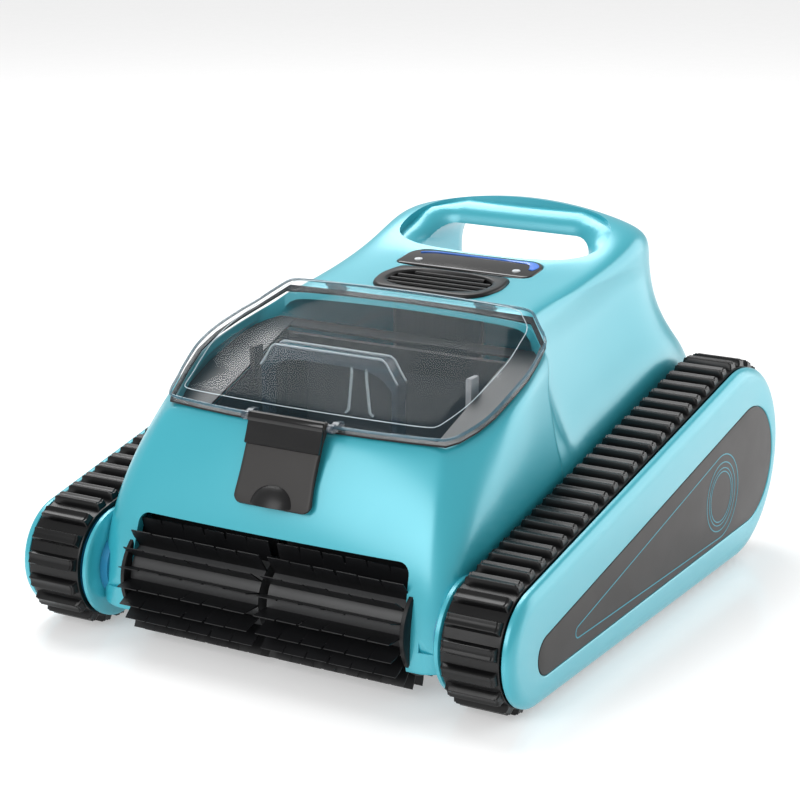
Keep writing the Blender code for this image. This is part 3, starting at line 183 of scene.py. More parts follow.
def spline(table: Array, u: Array) -> Array:
    """A smooth curve through the rows of a table.

    Formula: between rows i and i+1 a cubic whose slope at a row is half the difference of that row's
    two neighbours.

    Args:
        table: one row per whole value of u.
        u: where to read it, any shape.

    Returns:
        Values with the table's columns as last axis.
    """
    last = len(table) - 1
    i = np.clip(u.astype(int), 0, last - 1)
    t = (u - i)[..., None]
    p0, p1 = table[np.maximum(i - 1, 0)], table[i]
    p2, p3 = table[i + 1], table[np.minimum(i + 2, last)]
    m1, m2 = (p2 - p0) / 2, (p3 - p1) / 2
    return ((2 * t**3 - 3 * t**2 + 1) * p1 + (t**3 - 2 * t**2 + t) * m1
            + (3 * t**2 - 2 * t**3) * p2 + (t**3 - t**2) * m2)


def two_circle_hull(front: Array, front_radius: float, rear: Array, rear_radius: float,
                    arc: int = 40, straight: int = 24) -> Array:
    """The closed outline of a belt round two circles, as (y, z) rows.

    Formula: the two outer tangents touch each circle where the outward normal makes the angle
    arccos((front radius - rear radius) / distance) with the line of centres; arcs join them.
    """
    across = rear - front
    heading = math.atan2(across[1], across[0])
    spread = math.acos((front_radius - rear_radius) / math.hypot(*across))
    rear_arc = np.linspace(heading - spread, heading + spread, arc)
    front_arc = np.linspace(heading + spread, heading - spread + 2 * math.pi, arc)
    rear_points = rear + rear_radius * np.stack((np.cos(rear_arc), np.sin(rear_arc)), 1)
    front_points = front + front_radius * np.stack((np.cos(front_arc), np.sin(front_arc)), 1)
    t = np.linspace(0, 1, straight + 2)[1:-1, None]
    top = rear_points[-1] * (1 - t) + front_points[0] * t
    low = front_points[-1] * (1 - t) + rear_points[0] * t
    return np.concatenate((rear_points, top, front_points, low))


def rounded_loop(half_x: float, low_y: float, high_y: float, radii: tuple, steps: int = 8) -> Array:
    """A rectangle with rounded corners as (x, y) rows, anticlockwise from its low right corner.

    Args:
        half_x: half width.
        low_y: front edge.
        high_y: rear edge.
        radii: corner radii, low pair first and high pair second.
        steps: points per corner.

    Returns:
        Four times steps rows.
    """
    angle = np.linspace(0, math.pi / 2, steps)
    arcs = []
    for k, (sx, y, r) in enumerate(((1, low_y, radii[0]), (1, high_y, radii[1]),
                                    (-1, high_y, radii[1]), (-1, low_y, radii[0]))):
        turn = angle + math.pi / 2 * (k - 1)
        centre = (sx * (half_x - r), y + r if y == low_y else y - r)
        arcs.append(np.stack((centre[0] + r * np.cos(turn), centre[1] + r * np.sin(turn)), 1))
    return np.concatenate(arcs)


def place(loop: Array, axis: str, height: Array | float) -> Array:
    """Lifts a flat (a, b) loop into space: axis X takes (y, z), Y takes (x, z), Z takes (x, y)."""
    a, b = loop[:, 0], loop[:, 1]
    h = np.broadcast_to(height, a.shape)
    return np.stack({"X": (h, a, b), "Y": (a, h, b), "Z": (a, b, h)}[axis], 1)


def prism(name: str, loop: Array, axis: str, heights: tuple | Array,
          smooth_angle: float = 40.0) -> bpy.types.Object:
    """A straight body: one flat loop repeated at each height along an axis."""
    return stack(name, [place(loop, axis, h) for h in heights], smooth_angle)


def rolled_edge(loop: Array, fillet: float, top: float, steps: int = 6) -> list[Array]:
    """The loops of a plate's quarter-round upper edge.

    Formula: at angle a, from 0 to a quarter turn, the outline is drawn in by fillet (1 - cos a) and
    stands at top - fillet (1 - sin a).
    """
    return [place(inset(loop, fillet * (1 - math.cos(a))), "Z", top - fillet * (1 - math.sin(a)))
            for a in np.linspace(0, math.pi / 2, steps)]


def inset(loop: Array, distance: float) -> Array:
    """Moves each point of a closed flat loop along its own inward normal."""
    ahead, behind = np.roll(loop, -1, 0), np.roll(loop, 1, 0)
    along = ahead - behind
    along /= np.maximum(np.linalg.norm(along, axis=1, keepdims=True), 1e-9)
    area = np.sum(loop[:, 0] * ahead[:, 1] - ahead[:, 0] * loop[:, 1])
    inward = np.stack((-along[:, 1], along[:, 0]), 1) * np.sign(area)
    return loop + inward * distance


def turned(name: str, profile: Array, axis: str, centre: tuple, steps: int = 48) -> bpy.types.Object:
    """A turned piece: a closed profile of (along, radius) rows swept once round the axis."""
    angle = np.linspace(0, 2 * math.pi, steps, endpoint=False)
    along = profile[:, 0][:, None] + 0 * angle
    a = centre[0] + profile[:, 1][:, None] * np.cos(angle)
    b = centre[1] + profile[:, 1][:, None] * np.sin(angle)
    points = np.stack({"X": (along, a, b), "Y": (a, along, b), "Z": (a, b, along)}[axis], 2)
    return put_mesh(name, points, strip_faces(len(profile), steps, round_columns=True))


def cut(body: bpy.types.Object, tool: bpy.types.Object, operation: str = "DIFFERENCE") -> None:
    """Cuts or joins a tool body and removes it."""
    step = body.modifiers.new("cut", "BOOLEAN")
    step.object = tool
    step.operation = operation
    step.solver = "MANIFOLD"
    bake_modifiers(body)
    bpy.data.objects.remove(tool)


def bake_modifiers(body: bpy.types.Object) -> None:
    """Replaces the mesh with what its modifiers make of it."""
    graph = bpy.context.evaluated_depsgraph_get()
    made = bpy.data.meshes.new_from_object(body.evaluated_get(graph), depsgraph=graph)
    body.modifiers.clear()
    body.data = made


def smooth_again(body: bpy.types.Object, angle: float = 32.0) -> None:
    """Smooth shading with sharp edges past an angle in degrees."""
    body.data.shade_smooth()
    body.data.set_sharp_from_angle(angle=math.radians(angle))


def subdivide(body: bpy.types.Object, levels: int) -> None:
    """Adds a Subdivision Surface of the same level everywhere."""
    step = body.modifiers.new("round", "SUBSURF")
    step.levels = levels
    step.render_levels = levels


# ---- Finishes ------------------------------------------------------------------------------------
def moulding_group() -> bpy.types.NodeTree:
    """The shared effect of moulded surfaces: cloudy colour, fine grain, and streaks of polish.

    Returns:
        A node group that puts out Color, Roughness and Height, all varying with Object coordinates.
    """
    name = "moulded_surface"
    if name in bpy.data.node_groups:
        return bpy.data.node_groups[name]
    tree = bpy.data.node_groups.new(name, "ShaderNodeTree")
    face = tree.interface
    for label, kind in (("Base", "NodeSocketColor"), ("Tint", "NodeSocketColor"),
                        ("Roughness", "NodeSocketFloat"), ("Spread", "NodeSocketFloat"),
                        ("Cloud Scale", "NodeSocketFloat"), ("Grain Scale", "NodeSocketFloat")):
        face.new_socket(label, in_out="INPUT", socket_type=kind)
    for label, kind in (("Color", "NodeSocketColor"), ("Roughness", "NodeSocketFloat"),
                        ("Height", "NodeSocketFloat")):
        face.new_socket(label, in_out="OUTPUT", socket_type=kind)
    nodes, links = tree.nodes, tree.links
    into, out = nodes.new("NodeGroupInput"), nodes.new("NodeGroupOutput")
    where = nodes.new("ShaderNodeTexCoord")
    cloud = nodes.new("ShaderNodeTexNoise")
    cloud.inputs["Detail"].default_value = 4.0
    grain = nodes.new("ShaderNodeTexNoise")
    grain.inputs["Detail"].default_value = 2.0
    streak = nodes.new("ShaderNodeTexNoise")
    streak.inputs["Scale"].default_value = 38.0
    streak.inputs["Detail"].default_value = 3.0
    streak.inputs["Distortion"].default_value = 0.6
    for texture in (cloud, grain, streak):
        links.new(where.outputs["Object"], texture.inputs["Vector"])
    links.new(into.outputs["Cloud Scale"], cloud.inputs["Scale"])
    links.new(into.outputs["Grain Scale"], grain.inputs["Scale"])
    mix = nodes.new("ShaderNodeMix")
    mix.data_type = "RGBA"
    links.new(cloud.outputs["Fac"], mix.inputs["Factor"])
    links.new(into.outputs["Base"], mix.inputs["A"])
    links.new(into.outputs["Tint"], mix.inputs["B"])
    links.new(mix.outputs["Result"], out.inputs["Color"])
    centred = nodes.new("ShaderNodeMath")
    centred.operation = "SUBTRACT"
    centred.inputs[1].default_value = 0.5
    links.new(streak.outputs["Fac"], centred.inputs[0])
    swing = nodes.new("ShaderNodeMath")
    swing.operation = "MULTIPLY_ADD"
    links.new(centred.outputs[0], swing.inputs[0])
    links.new(into.outputs["Spread"], swing.inputs[1])
    links.new(into.outputs["Roughness"], swing.inputs[2])
    links.new(swing.outputs[0], out.inputs["Roughness"])
    links.new(grain.outputs["Fac"], out.inputs["Height"])
    return tree


@dataclass(frozen=True)
class Finish:
    """One procedural finish: colours, polish, grain and clearness."""

    name: str
    base: Colour
    tint: Colour
    roughness: float = 0.4
    spread: float = 0.15
    cloud_scale: float = 14.0
    grain_scale: float = 1500.0
    grain_depth: float = 0.00003
    grain_strength: float = 0.25
    metallic: float = 0.0
    coat: float = 0.0
    coat_roughness: float = 0.12
    transmission: float = 0.0
    ior: float = 1.49
    alpha: float = 1.0
    specular: float = 0.5
    glow: float = 0.0

    def material(self) -> bpy.types.Material:
        """Builds the material once and returns it."""
        name = f"finish_{self.name}"
        if name in bpy.data.materials:
            return bpy.data.materials[name]
        made = bpy.data.materials.new(name)
        made.use_nodes = True
        nodes, links = made.node_tree.nodes, made.node_tree.links
        shader = nodes["Principled BSDF"]
        group = nodes.new("ShaderNodeGroup")
        group.node_tree = moulding_group()
        group.inputs["Base"].default_value = (*self.base, 1.0)
        group.inputs["Tint"].default_value = (*self.tint, 1.0)
        group.inputs["Roughness"].default_value = self.roughness
        group.inputs["Spread"].default_value = self.spread
        group.inputs["Cloud Scale"].default_value = self.cloud_scale
        group.inputs["Grain Scale"].default_value = self.grain_scale
        links.new(group.outputs["Color"], shader.inputs["Base Color"])
        links.new(group.outputs["Roughness"], shader.inputs["Roughness"])
        if self.grain_strength:
            bump = nodes.new("ShaderNodeBump")
            bump.inputs["Distance"].default_value = self.grain_depth
            bump.inputs["Strength"].default_value = self.grain_strength
            links.new(group.outputs["Height"], bump.inputs["Height"])
            links.new(bump.outputs["Normal"], shader.inputs["Normal"])
        for socket, value in (("Metallic", self.metallic), ("Coat Weight", self.coat),
                              ("Coat Roughness", self.coat_roughness), ("IOR", self.ior),
                              ("Transmission Weight", self.transmission), ("Alpha", self.alpha),
                              ("Specular IOR Level", self.specular), ("Emission Strength", self.glow)):
            shader.inputs[socket].default_value = value
        return made

    def dress(self, *objects: bpy.types.Object) -> None:
        """Gives the finish to whole objects."""
        for each in objects:
            each.data.materials.clear()
            each.data.materials.append(self.material())


TURQUOISE = Finish("satin_turquoise", (0.034, 0.425, 0.525), (0.040, 0.450, 0.550), 0.33, 0.06,
                   6.0, 900.0, 0.00002, 0.10, metallic=0.16, coat=0.45, coat_roughness=0.20, specular=0.8)
DEEP_BLUE = Finish("deep_blue", (0.014, 0.200, 0.380), (0.018, 0.225, 0.410), 0.34, 0.10,
                   8.0, 900.0, 0.00002, 0.20, coat=0.2)
RUBBER = Finish("track_rubber", (0.0030, 0.0030, 0.0033), (0.0055, 0.0055, 0.0060), 0.30, 0.15,
                30.0, 1400.0, 0.00004, 0.25, specular=0.34)
BRUSH_RUBBER = Finish("brush_rubber", (0.0070, 0.0072, 0.0080), (0.012, 0.0125, 0.0140), 0.40, 0.20,
                      40.0, 1200.0, 0.00004, 0.25, specular=0.35)
BLACK = Finish("black_plastic", (0.0050, 0.0050, 0.0055), (0.0090, 0.0090, 0.0095), 0.36, 0.15,
               specular=0.35)
CHARCOAL = Finish("charcoal_plastic", (0.022, 0.020, 0.019), (0.029, 0.027, 0.026), 0.44, 0.12,
                  12.0, 1600.0, 0.00004, 0.30, specular=0.40)
INLAY = Finish("charcoal_inlay", (0.016, 0.0125, 0.0118), (0.021, 0.017, 0.016), 0.38, 0.10,
               8.0, 1800.0, 0.00002, 0.20, specular=0.28)
GREY = Finish("brush_core_grey", (0.040, 0.041, 0.043), (0.060, 0.062, 0.064), 0.34, 0.10)
GLOSS = Finish("gloss_black", (0.0030, 0.0030, 0.0035), (0.0055, 0.0055, 0.0060), 0.12, 0.06,
               coat=0.4, coat_roughness=0.04, grain_strength=0.04, specular=0.35)
CLEAR = Finish("clear_lid", (0.10, 0.20, 0.26), (0.15, 0.26, 0.32), 0.03, 0.02, 10.0, 300.0,
               grain_strength=0.0, alpha=0.045, specular=1.0)
RIM_CLEAR = Finish("lid_rim", (0.050, 0.150, 0.210), (0.080, 0.200, 0.260), 0.08, 0.03, 10.0, 300.0,
                   grain_strength=0.0, alpha=0.62)
# Pale, half clear finish for beads and rods that are painted highlights along the clear plastic's edges.
HIGHLIGHT_CLEAR = Finish("clear_edge", (0.72, 0.84, 0.90), (0.80, 0.90, 0.94), 0.08, 0.03, 10.0, 300.0,
                    grain_strength=0.0, alpha=0.50)
SMOKE = Finish("clear_plastic", (0.045, 0.070, 0.095), (0.065, 0.095, 0.125), 0.07, 0.03, 10.0, 300.0,
               grain_strength=0.0, alpha=0.55, coat=0.6, coat_roughness=0.04)
LINE = Finish("pinstripe_teal", (0.022, 0.290, 0.390), (0.028, 0.330, 0.430), 0.40, 0.10)
BLUE_LIGHT = Finish("status_blue", (0.045, 0.180, 0.740), (0.055, 0.215, 0.800), 0.25, 0.08, coat=0.3)
# Pale blue for the line between grille and panel: a painted highlight where light catches the gap's edge.
PAINTED_HIGHLIGHT_BLUE = Finish("pale_blue_edge", (0.22, 0.55, 0.68), (0.25, 0.60, 0.72), 0.30, 0.08)
WHITE = Finish("button_white", (0.62, 0.64, 0.66), (0.70, 0.72, 0.74), 0.40, 0.10)
MESH_GREY = Finish("filter_mesh", (0.020, 0.022, 0.025), (0.030, 0.032, 0.036), 0.60, 0.20, 30.0, 2200.0,
                   0.00005, 0.5)
SCREEN = Finish("screen_grey", (0.34, 0.35, 0.37), (0.42, 0.43, 0.45), 0.60, 0.15, 30.0, 2200.0,
                0.0001, 0.5)
FOAM = Finish("float_foam", (0.62, 0.62, 0.60), (0.72, 0.72, 0.70), 0.85, 0.20, 20.0, 900.0,
              0.0002, 0.6)
BATTERY = Finish("battery_wrap", (0.012, 0.050, 0.120), (0.016, 0.060, 0.140), 0.40, 0.15)
BOARD = Finish("board_green", (0.010, 0.080, 0.030), (0.014, 0.100, 0.040), 0.45, 0.20)
ACETAL = Finish("acetal_white", (0.55, 0.54, 0.50), (0.62, 0.61, 0.57), 0.38, 0.12)
STEEL = Finish("machined_steel", (0.40, 0.40, 0.41), (0.50, 0.50, 0.51), 0.30, 0.20, 40.0, 2500.0,
               0.00002, 0.3, metallic=1.0)
FLOOR = Finish("pale_floor", (0.80, 0.80, 0.80), (0.82, 0.82, 0.82), 0.20, 0.04, 2.0, 60.0,
               0.00001, 0.02, glow=0.38)

HOUSING = "housing"


def settle(piece: bpy.types.Object, finish: Finish, body: str, *stands_for: str,
           slot: str | None = None) -> bpy.types.Object:
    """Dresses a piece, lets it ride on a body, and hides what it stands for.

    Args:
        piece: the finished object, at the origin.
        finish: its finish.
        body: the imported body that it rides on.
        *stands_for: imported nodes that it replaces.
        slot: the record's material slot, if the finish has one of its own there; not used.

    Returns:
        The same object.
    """
    finish.dress(piece)
    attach(piece, body)
    if stands_for:
        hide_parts(*stands_for)
    LOG.info("%s: %d faces", piece.name, len(piece.data.polygons))
    return piece


# ---- Upper shell ---------------------------------------------------------------------------------
def top_run_z(y: Array) -> Array:
    """Height of the lug tips above each place along the track: a slope, then the rear wheel's circle."""
    across = REAR_AXLE - FRONT_AXLE
    angle = math.atan2(across[1], across[0]) + math.acos((FRONT_RADIUS - REAR_RADIUS) / math.hypot(*across))
    touch = REAR_AXLE + REAR_RADIUS * np.array((math.cos(angle), math.sin(angle)))
    slope = touch[1] - (y - touch[0]) * math.cos(angle) / math.sin(angle)
    circle = REAR_AXLE[1] + np.sqrt(np.maximum(0.0, REAR_RADIUS**2 - (y - REAR_AXLE[0])**2))
    return np.where(y > REAR_AXLE[0] - 0.195 * REAR_RADIUS, circle, slope)


def shell_table() -> Array:
    """The shell's stations from front to rear, one row each.

    Columns: half width, Y and Z of the upper edge, Y and Z at mid width, half width and Y of the foot,
    and flare, from 0 (bulging) to 1 (upright, then sweeping out at the foot).
    """
    front, rear, axle, side = LID_FRONT_Y, LID_REAR_Y, REAR_AXLE[0], BODY_HALF
    nose = FRONT_AXLE[0]
    return np.array([
        (0.1023, front + 0.0115, 0.1470, front, 0.1470, side - 0.0190, nose - 0.0245, 0.0),
        (0.1085, front + 0.0215, 0.1485, front + 0.0095, 0.1520, side - 0.0090, nose - 0.0220, 0.0),
        (0.1135, front + 0.0360, 0.1523, front + 0.0325, 0.1600, side - 0.0025, nose - 0.0150, 0.0),
        (0.1173, front + 0.0495, 0.1578, front + 0.0495, 0.1660, side, nose - 0.0010, 0.1),
        (0.1200, front + 0.0685, 0.1667, front + 0.0685, 0.1720, side, front + 0.0250, 0.3),
        (0.1200, front + 0.0890, 0.1734, front + 0.0890, 0.1795, side, front + 0.0600, 0.35),
        (0.1164, rear - 0.0345, 0.1796, rear - 0.0345, 0.1875, side, rear - 0.0480, 0.4),
        (0.1123, rear - 0.0175, 0.1843, rear - 0.0175, 0.1935, side, rear - 0.0175, 0.5),
        (0.1030, rear - 0.0092, 0.1918, rear - 0.0092, 0.1970, side, rear - 0.0080, 0.6),
        (0.0925, rear, 0.2002, rear, 0.2005, side, rear + 0.0040, 0.7),
        (0.0925, rear + 0.0325, 0.2050, rear + 0.0325, 0.2025, side, rear + 0.0325, 0.85),
        (0.0935, axle - 0.0787, 0.2105, axle - 0.0787, 0.2055, side, axle - 0.0787, 0.95),
        (0.0960, axle - 0.0387, 0.2180, axle - 0.0387, 0.2110, side, axle - 0.0387, 1.0),
        (0.0985, axle - 0.0037, 0.2260, axle - 0.0037, 0.2370, side, axle - 0.0037, 1.0),
        (0.0960, axle + 0.0193, 0.2265, axle + 0.0193, 0.2420, side, axle + 0.0233, 1.0),
        (0.0880, axle + 0.0333, 0.2210, axle + 0.0333, 0.2370, side - 0.0020, axle + 0.0430, 1.0),
        (0.0740, axle + 0.0413, 0.2140, axle + 0.0413, 0.2280, side - 0.0100, axle + 0.0540, 1.0),
    ])


def deck_z(y: Array | float) -> Array:
    """Height of the shell's top at mid width, above a place along the machine."""
    table = shell_table()
    return np.interp(y, table[:, 3], table[:, 4])


def top_patch(u: Array, c: Array, table: Array) -> Array:
    """Points of the shell's top surface.

    Formula: across the width x is half c, and y and z run from their mid value to their edge value
    with the square of c.

    Args:
        u: stations from the front, any shape.
        c: -1 to 1 across, same shape.
        table: the stations.

    Returns:
        Points with X, Y, Z as last axis.
    """
    row = spline(table, u)
    half, y, z, mid_y, mid_z = (row[..., k] for k in range(5))
    return np.stack((half * c, mid_y + (y - mid_y) * c * c, mid_z + (z - mid_z) * c * c), -1)


@dataclass
class ShellForm:
    """A closed body with the shell's form, from its stations."""

    table: Array
    rows: int = 64
    columns: int = 24
    steps: int = 16
    bottom: float = SHELL_BOTTOM_Z
    track_gap: float = 0.0040

    def rim(self) -> tuple[Array, Array]:
        """The closed rim as station numbers and places across, front edge first."""
        last = len(self.table) - 1
        u = np.linspace(0, last, self.rows)
        c = np.linspace(-1, 1, self.columns)
        stations = np.concatenate((0 * c, u[1:-1], 0 * c + last, u[-2:0:-1]))
        places = np.concatenate((c, 0 * u[1:-1] + 1, c[::-1], 0 * u[1:-1] - 1))
        return stations, places

    def walls(self) -> Array:
        """Loops from the rim down to the bottom edge.

        Formula: for q from 0 at the rim to 1 at the knee, the share of the way out to the foot is
        (1 - flare)(1 - (1 - q)^2.1) + flare q^3, and the height falls in step with q; below the knee
        the wall is upright.
        """
        u, c = self.rim()
        row = spline(self.table, u)
        z, foot_x, foot_y, flare = row[:, 2], row[:, 5] * c, row[:, 6], np.clip(row[:, 7], 0, 1)
        start = top_patch(u, c, self.table)
        knee = np.minimum(top_run_z(foot_y) - self.track_gap, z - 0.0050)
        front = np.clip((FRONT_AXLE[0] + 0.0300 - foot_y) / 0.0550, 0, 1)
        knee = knee + (self.bottom + 0.0070 - knee) * front
        q = np.linspace(0, 1, self.steps + 1)[:, None]
        share = (1 - flare) * (1 - (1 - q) ** 2.1) + flare * q**3
        loops = np.stack((start[:, 0] + (foot_x - start[:, 0]) * share,
                          start[:, 1] + (foot_y - start[:, 1]) * share,
                          start[:, 2] + (knee - start[:, 2]) * q), -1)
        last = loops[-1].copy()
        last[:, 2] = self.bottom
        between = (loops[-1] + last) / 2
        return np.concatenate((loops, between[None], last[None]))

    def build(self, name: str, relax: int = 0, weights: tuple = (0.0, 0.0)) -> bpy.types.Object:
        """Makes the body, optionally softened.

        Args:
            name: object name.
            relax: how many times each point moves towards its neighbours' mean.
            weights: how far it moves each time in front of the lid's rear edge, and behind it.
        """
        last = len(self.table) - 1
        u, c = np.meshgrid(np.linspace(0, last, self.rows), np.linspace(-1, 1, self.columns), indexing="ij")
        top = top_patch(u, c, self.table).reshape(-1, 3)
        top_faces = strip_faces(self.rows, self.columns)
        loops = self.walls()
        around = loops.shape[1]
        wall = loops.reshape(-1, 3)
        wall_faces = strip_faces(len(loops), around, round_columns=True) + len(top)
        centre = np.array([[0.0, 0.0, self.bottom]])
        edge = len(top) + (len(loops) - 1) * around + np.arange(around)
        fan = [(a, b, len(top) + len(wall)) for a, b in zip(edge, np.roll(edge, -1))]
        points = np.concatenate((top, wall, centre))
        body = put_mesh(name, points, top_faces.tolist() + wall_faces.tolist() + fan, 60.0)
        if relax:
            soften(body, relax, weights)
        return body


def soften(body: bpy.types.Object, times: int, weights: tuple) -> None:
    """Moves each point towards the mean of its neighbours, less in front of the lid's rear edge.

    Args:
        body: the mesh object to soften.
        times: how many rounds.
        weights: the share of the way, for the front and the rear of the shell.
    """
    mesh = body.data
    count = len(mesh.vertices)
    points = read_points(mesh)
    ends = np.empty(len(mesh.edges) * 2, np.int32)
    mesh.edges.foreach_get("vertices", ends)
    a, b = ends.reshape(-1, 2).T
    degree = np.bincount(a, minlength=count) + np.bincount(b, minlength=count)
    behind = np.clip((points[:, 1] - (LID_REAR_Y + 0.005)) / 0.03, 0, 1)
    high = np.clip((points[:, 2] - 0.03) / 0.03, 0, 1)
    weight = ((weights[0] * (1 - behind) + weights[1] * behind) * high)[:, None]
    for _ in range(times):
        total = np.zeros_like(points)
        np.add.at(total, a, points[b])
        np.add.at(total, b, points[a])
        points += (total / degree[:, None] - points) * weight
    write_points(mesh, points)


def hollow_flanks(body: bpy.types.Object, depth: float) -> None:
    """Presses the long leaf-shaped scoop into both flanks of a shell.

    Formula: behind a curved crease that runs from the lid's rear corner down to the track, the wall
    moves in by depth times a smooth step of 7 mm across the crease, times a fade towards the rear,
    times the sine of the place between the track and the deck edge.

    Args:
        body: the shell or its cavity.
        depth: how deep the scoop is beside the crease.
    """
    points = read_points(body.data)
    x, y, z = points.T
    crease = LID_REAR_Y - 0.0040 - 0.0270 * np.clip((0.1960 - z) / 0.0340, 0, 1) ** 0.7
    across = np.clip((y - crease) / 0.0070, 0, 1)
    step = across * across * (3 - 2 * across)
    fade = np.clip(1 - (y - crease) / 0.1750, 0, 1) ** 1.3
    low = top_run_z(y) - 0.0080
    high = np.interp(y, (-0.060, LID_REAR_Y, 0.1000, 0.1700), (0.1960, 0.2010, 0.2050, 0.2060))
    share = np.clip((z - low) / (high - low), 0, 1)
    window = np.sin(math.pi * np.clip(share, 0, 1)) ** 0.55
    points[:, 0] -= np.sign(x) * depth * step * fade * window * (np.abs(x) > 0.0700)
    write_points(body.data, points)


@dataclass
class UpperShell:
    """The moulded housing with its lid opening, hand hole, brush mouth and deck openings."""

    wall: float = 0.0030
    ledge: float = 0.0060
    hole_half: float = 0.0640
    hole_corner: float = 0.0190
    hole_fillet: float = 0.0160
    hole_front_fillet: float = 0.0060
    scoop: float = 0.0052
    mouth_half_top: float = 0.0990
    mouth_half_low: float = 0.1045
    mouth_top_z: float = 0.0857

    def lid_outline(self, inward: float, steps: int = 6) -> Array:
        """The lid opening's outline in plan, a distance inside the rim."""
        return rim_line(inward, steps)[:, :2]

    def inner_table(self) -> Array:
        """The cavity's stations: the shell's own, moved in by the wall and kept under the hand hole."""
        table = shell_table()
        rows = len(table)
        shift = np.where(np.arange(rows) < 4, self.wall, 0.0)
        shift[-2:] = -self.wall
        under = HOLE_FLOOR_Z - HOLE_FLOOR_FALL * (table[:, 1] - HANDLE_FRONT_Y) - self.wall * 1.3
        ceiling = np.minimum(np.minimum(table[:, 2], table[:, 4]) - self.wall * 1.2, under)
        low = table[:, 1] > HANDLE_FRONT_Y - 0.0200
        inner = table.copy()
        inner[:, 0] -= self.wall
        inner[:, 1] += shift
        inner[:, 2] = np.where(low, ceiling, table[:, 2] - self.wall * 1.2)
        inner[:, 3] += shift
        inner[:, 4] = np.where(low, ceiling, table[:, 4] - self.wall * 1.2)
        inner[:, 5] -= self.wall
        inner[:, 6] += shift
        return inner

    def hand_hole_tools(self) -> list[bpy.types.Object]:
        """The cutters of the hand hole: a slot from above and a mouth to the rear, with flared edges.

        Formula: the slot's rounded outline grows by fillet (1 - cos a) over the last fillet of height
        below the sloping deck, for a up to a quarter turn, and stays that wide above it.
        """
        slope = (0.2385 - 0.2110) / (HANDLE_BAR_Y - HANDLE_FRONT_Y)
        fillet = self.hole_fillet
        loops = []
        outline = rounded_loop(self.hole_half, HANDLE_FRONT_Y, HANDLE_BAR_Y, (self.hole_corner,) * 2, 10)
        stations = [(-0.040, 0.0)]
        stations += [(-fillet * (1 - math.sin(a)), fillet * (1 - math.cos(a)))
                     for a in np.linspace(0, math.pi / 2, 11)]
        stations.append((0.050, fillet))
        for height, grow in stations:
            loop = inset(outline, -grow)
            ahead = np.clip((HANDLE_FRONT_Y + 0.0190 - outline[:, 1]) / 0.0190, 0, 1)
            front = inset(outline, -grow * self.hole_front_fillet / fillet)
            loop[:, 1] += (front - loop)[:, 1] * ahead
            y = np.clip(loop[:, 1], HANDLE_FRONT_Y - 0.001, HANDLE_BAR_Y + 0.001)
            droop = -0.0075 * (loop[:, 0] / 0.064) ** 2 * np.clip((y - HANDLE_FRONT_Y) / 0.03, 0, 1)
            loops.append(place(loop, "Z", 0.2110 + slope * (y - HANDLE_FRONT_Y) + droop + height))
        slot = stack("hand_slot", loops)
        rear = rounded_loop(self.hole_half, 0.0, MOUTH_HEIGHT, (0.0200, 0.0160), 10)
        y = np.array((HANDLE_FRONT_Y + 0.0130, 0.1500, 0.1700, 0.1790, 0.1840, 0.1880, 0.2000, 0.2400))
        grow = np.array((0.0, 0.0, 0.0, 0.0015, 0.0040, 0.0075, 0.0120, 0.0140))
        loops = []
        for at, more in zip(y, grow):
            loop = inset(rear, -more)
            floor = HOLE_FLOOR_Z - HOLE_FLOOR_FALL * (at - HANDLE_FRONT_Y)
            height = (BAR_UNDERSIDE_Z - floor) / MOUTH_HEIGHT
            loops.append(place(np.stack((loop[:, 0], floor + loop[:, 1] * height), 1), "Y", at))
        return [slot, stack("hand_mouth", loops)]

    def mouth_tool(self) -> bpy.types.Object:
        """The brush mouth's cutter: a trapezium with rounded upper corners, carried from front to back."""
        height = self.mouth_top_z + 0.0300
        loop = rounded_loop(1.0, 0.0, height, (0.001, 0.0070), 8)
        x = np.sign(loop[:, 0])
        z = loop[:, 1] - 0.0300
        share = np.clip((z + 0.01) / (self.mouth_top_z + 0.01), 0, 1)
        half = self.mouth_half_low + (self.mouth_half_top - self.mouth_half_low) * share
        outline = np.stack((x * (half - (1.0 - np.abs(loop[:, 0]))), z), 1)
        return prism("brush_mouth", outline, "Y", (-0.2300, -0.1263))

    def build(self) -> list[bpy.types.Object]:
        """Builds the housing and dresses it.

        Returns:
            The housing and the two wheel guards.
        """
        form = ShellForm(shell_table(), 65, 23, 18)
        shell = form.build("housing_shell", 8, (0.22, 0.50))
        subdivide(shell, 2)
        bake_modifiers(shell)
        hollow_flanks(shell, self.scoop)
        hollow = ShellForm(self.inner_table(), 40, 15, 10, SHELL_BOTTOM_Z - 0.0200, 0.0070)
        cavity = hollow.build("cavity", 3, (0.2, 0.3))
        subdivide(cavity, 1)
        bake_modifiers(cavity)
        hollow_flanks(cavity, self.scoop)
        cut(shell, cavity)
        for tool in self.hand_hole_tools():
            cut(shell, tool)
        for side in Side:
            cut(shell, self.hub_window(side))
        outline = self.lid_outline(self.ledge)
        cut(shell, prism("lid_mouth", outline, "Z", (0.1100, 0.2600)))
        cut(shell, self.mouth_tool())
        for name, loop in (("vent_opening", grille_loop(0.0002)), ("panel_opening", panel_loop(0.0002))):
            cut(shell, prism(name, loop, "Z", (0.1830, 0.2300)))
        smooth_again(shell, 34.0)
        settle(shell, TURQUOISE, HOUSING, "upper_shell", slot="satin_turquoise")
        made = [shell]
        for side in Side:
            made += [self.wheel_guard(side), self.hub_web(side)]
        return made

    def hub_window(self, side: Side) -> bpy.types.Object:
        """The cutter of the opening low in each leg, through which the drive hub shows."""
        y, z = FRONT_AXLE
        turn = np.radians(np.linspace(180.0, 268.0, 14))
        arc = np.stack((y + 0.0236 * np.cos(turn), z + 0.0236 * np.sin(turn)), 1)
        loop = np.concatenate((arc, [(y - 0.0008, z - 0.0100), (y - 0.0300, z - 0.0080),
                                     (y - 0.0300, z - 0.0020)]))
        x = side.value
        return prism(f"hub_window_{side.word}", loop, "X", (x * 0.1105, x * 0.1290))

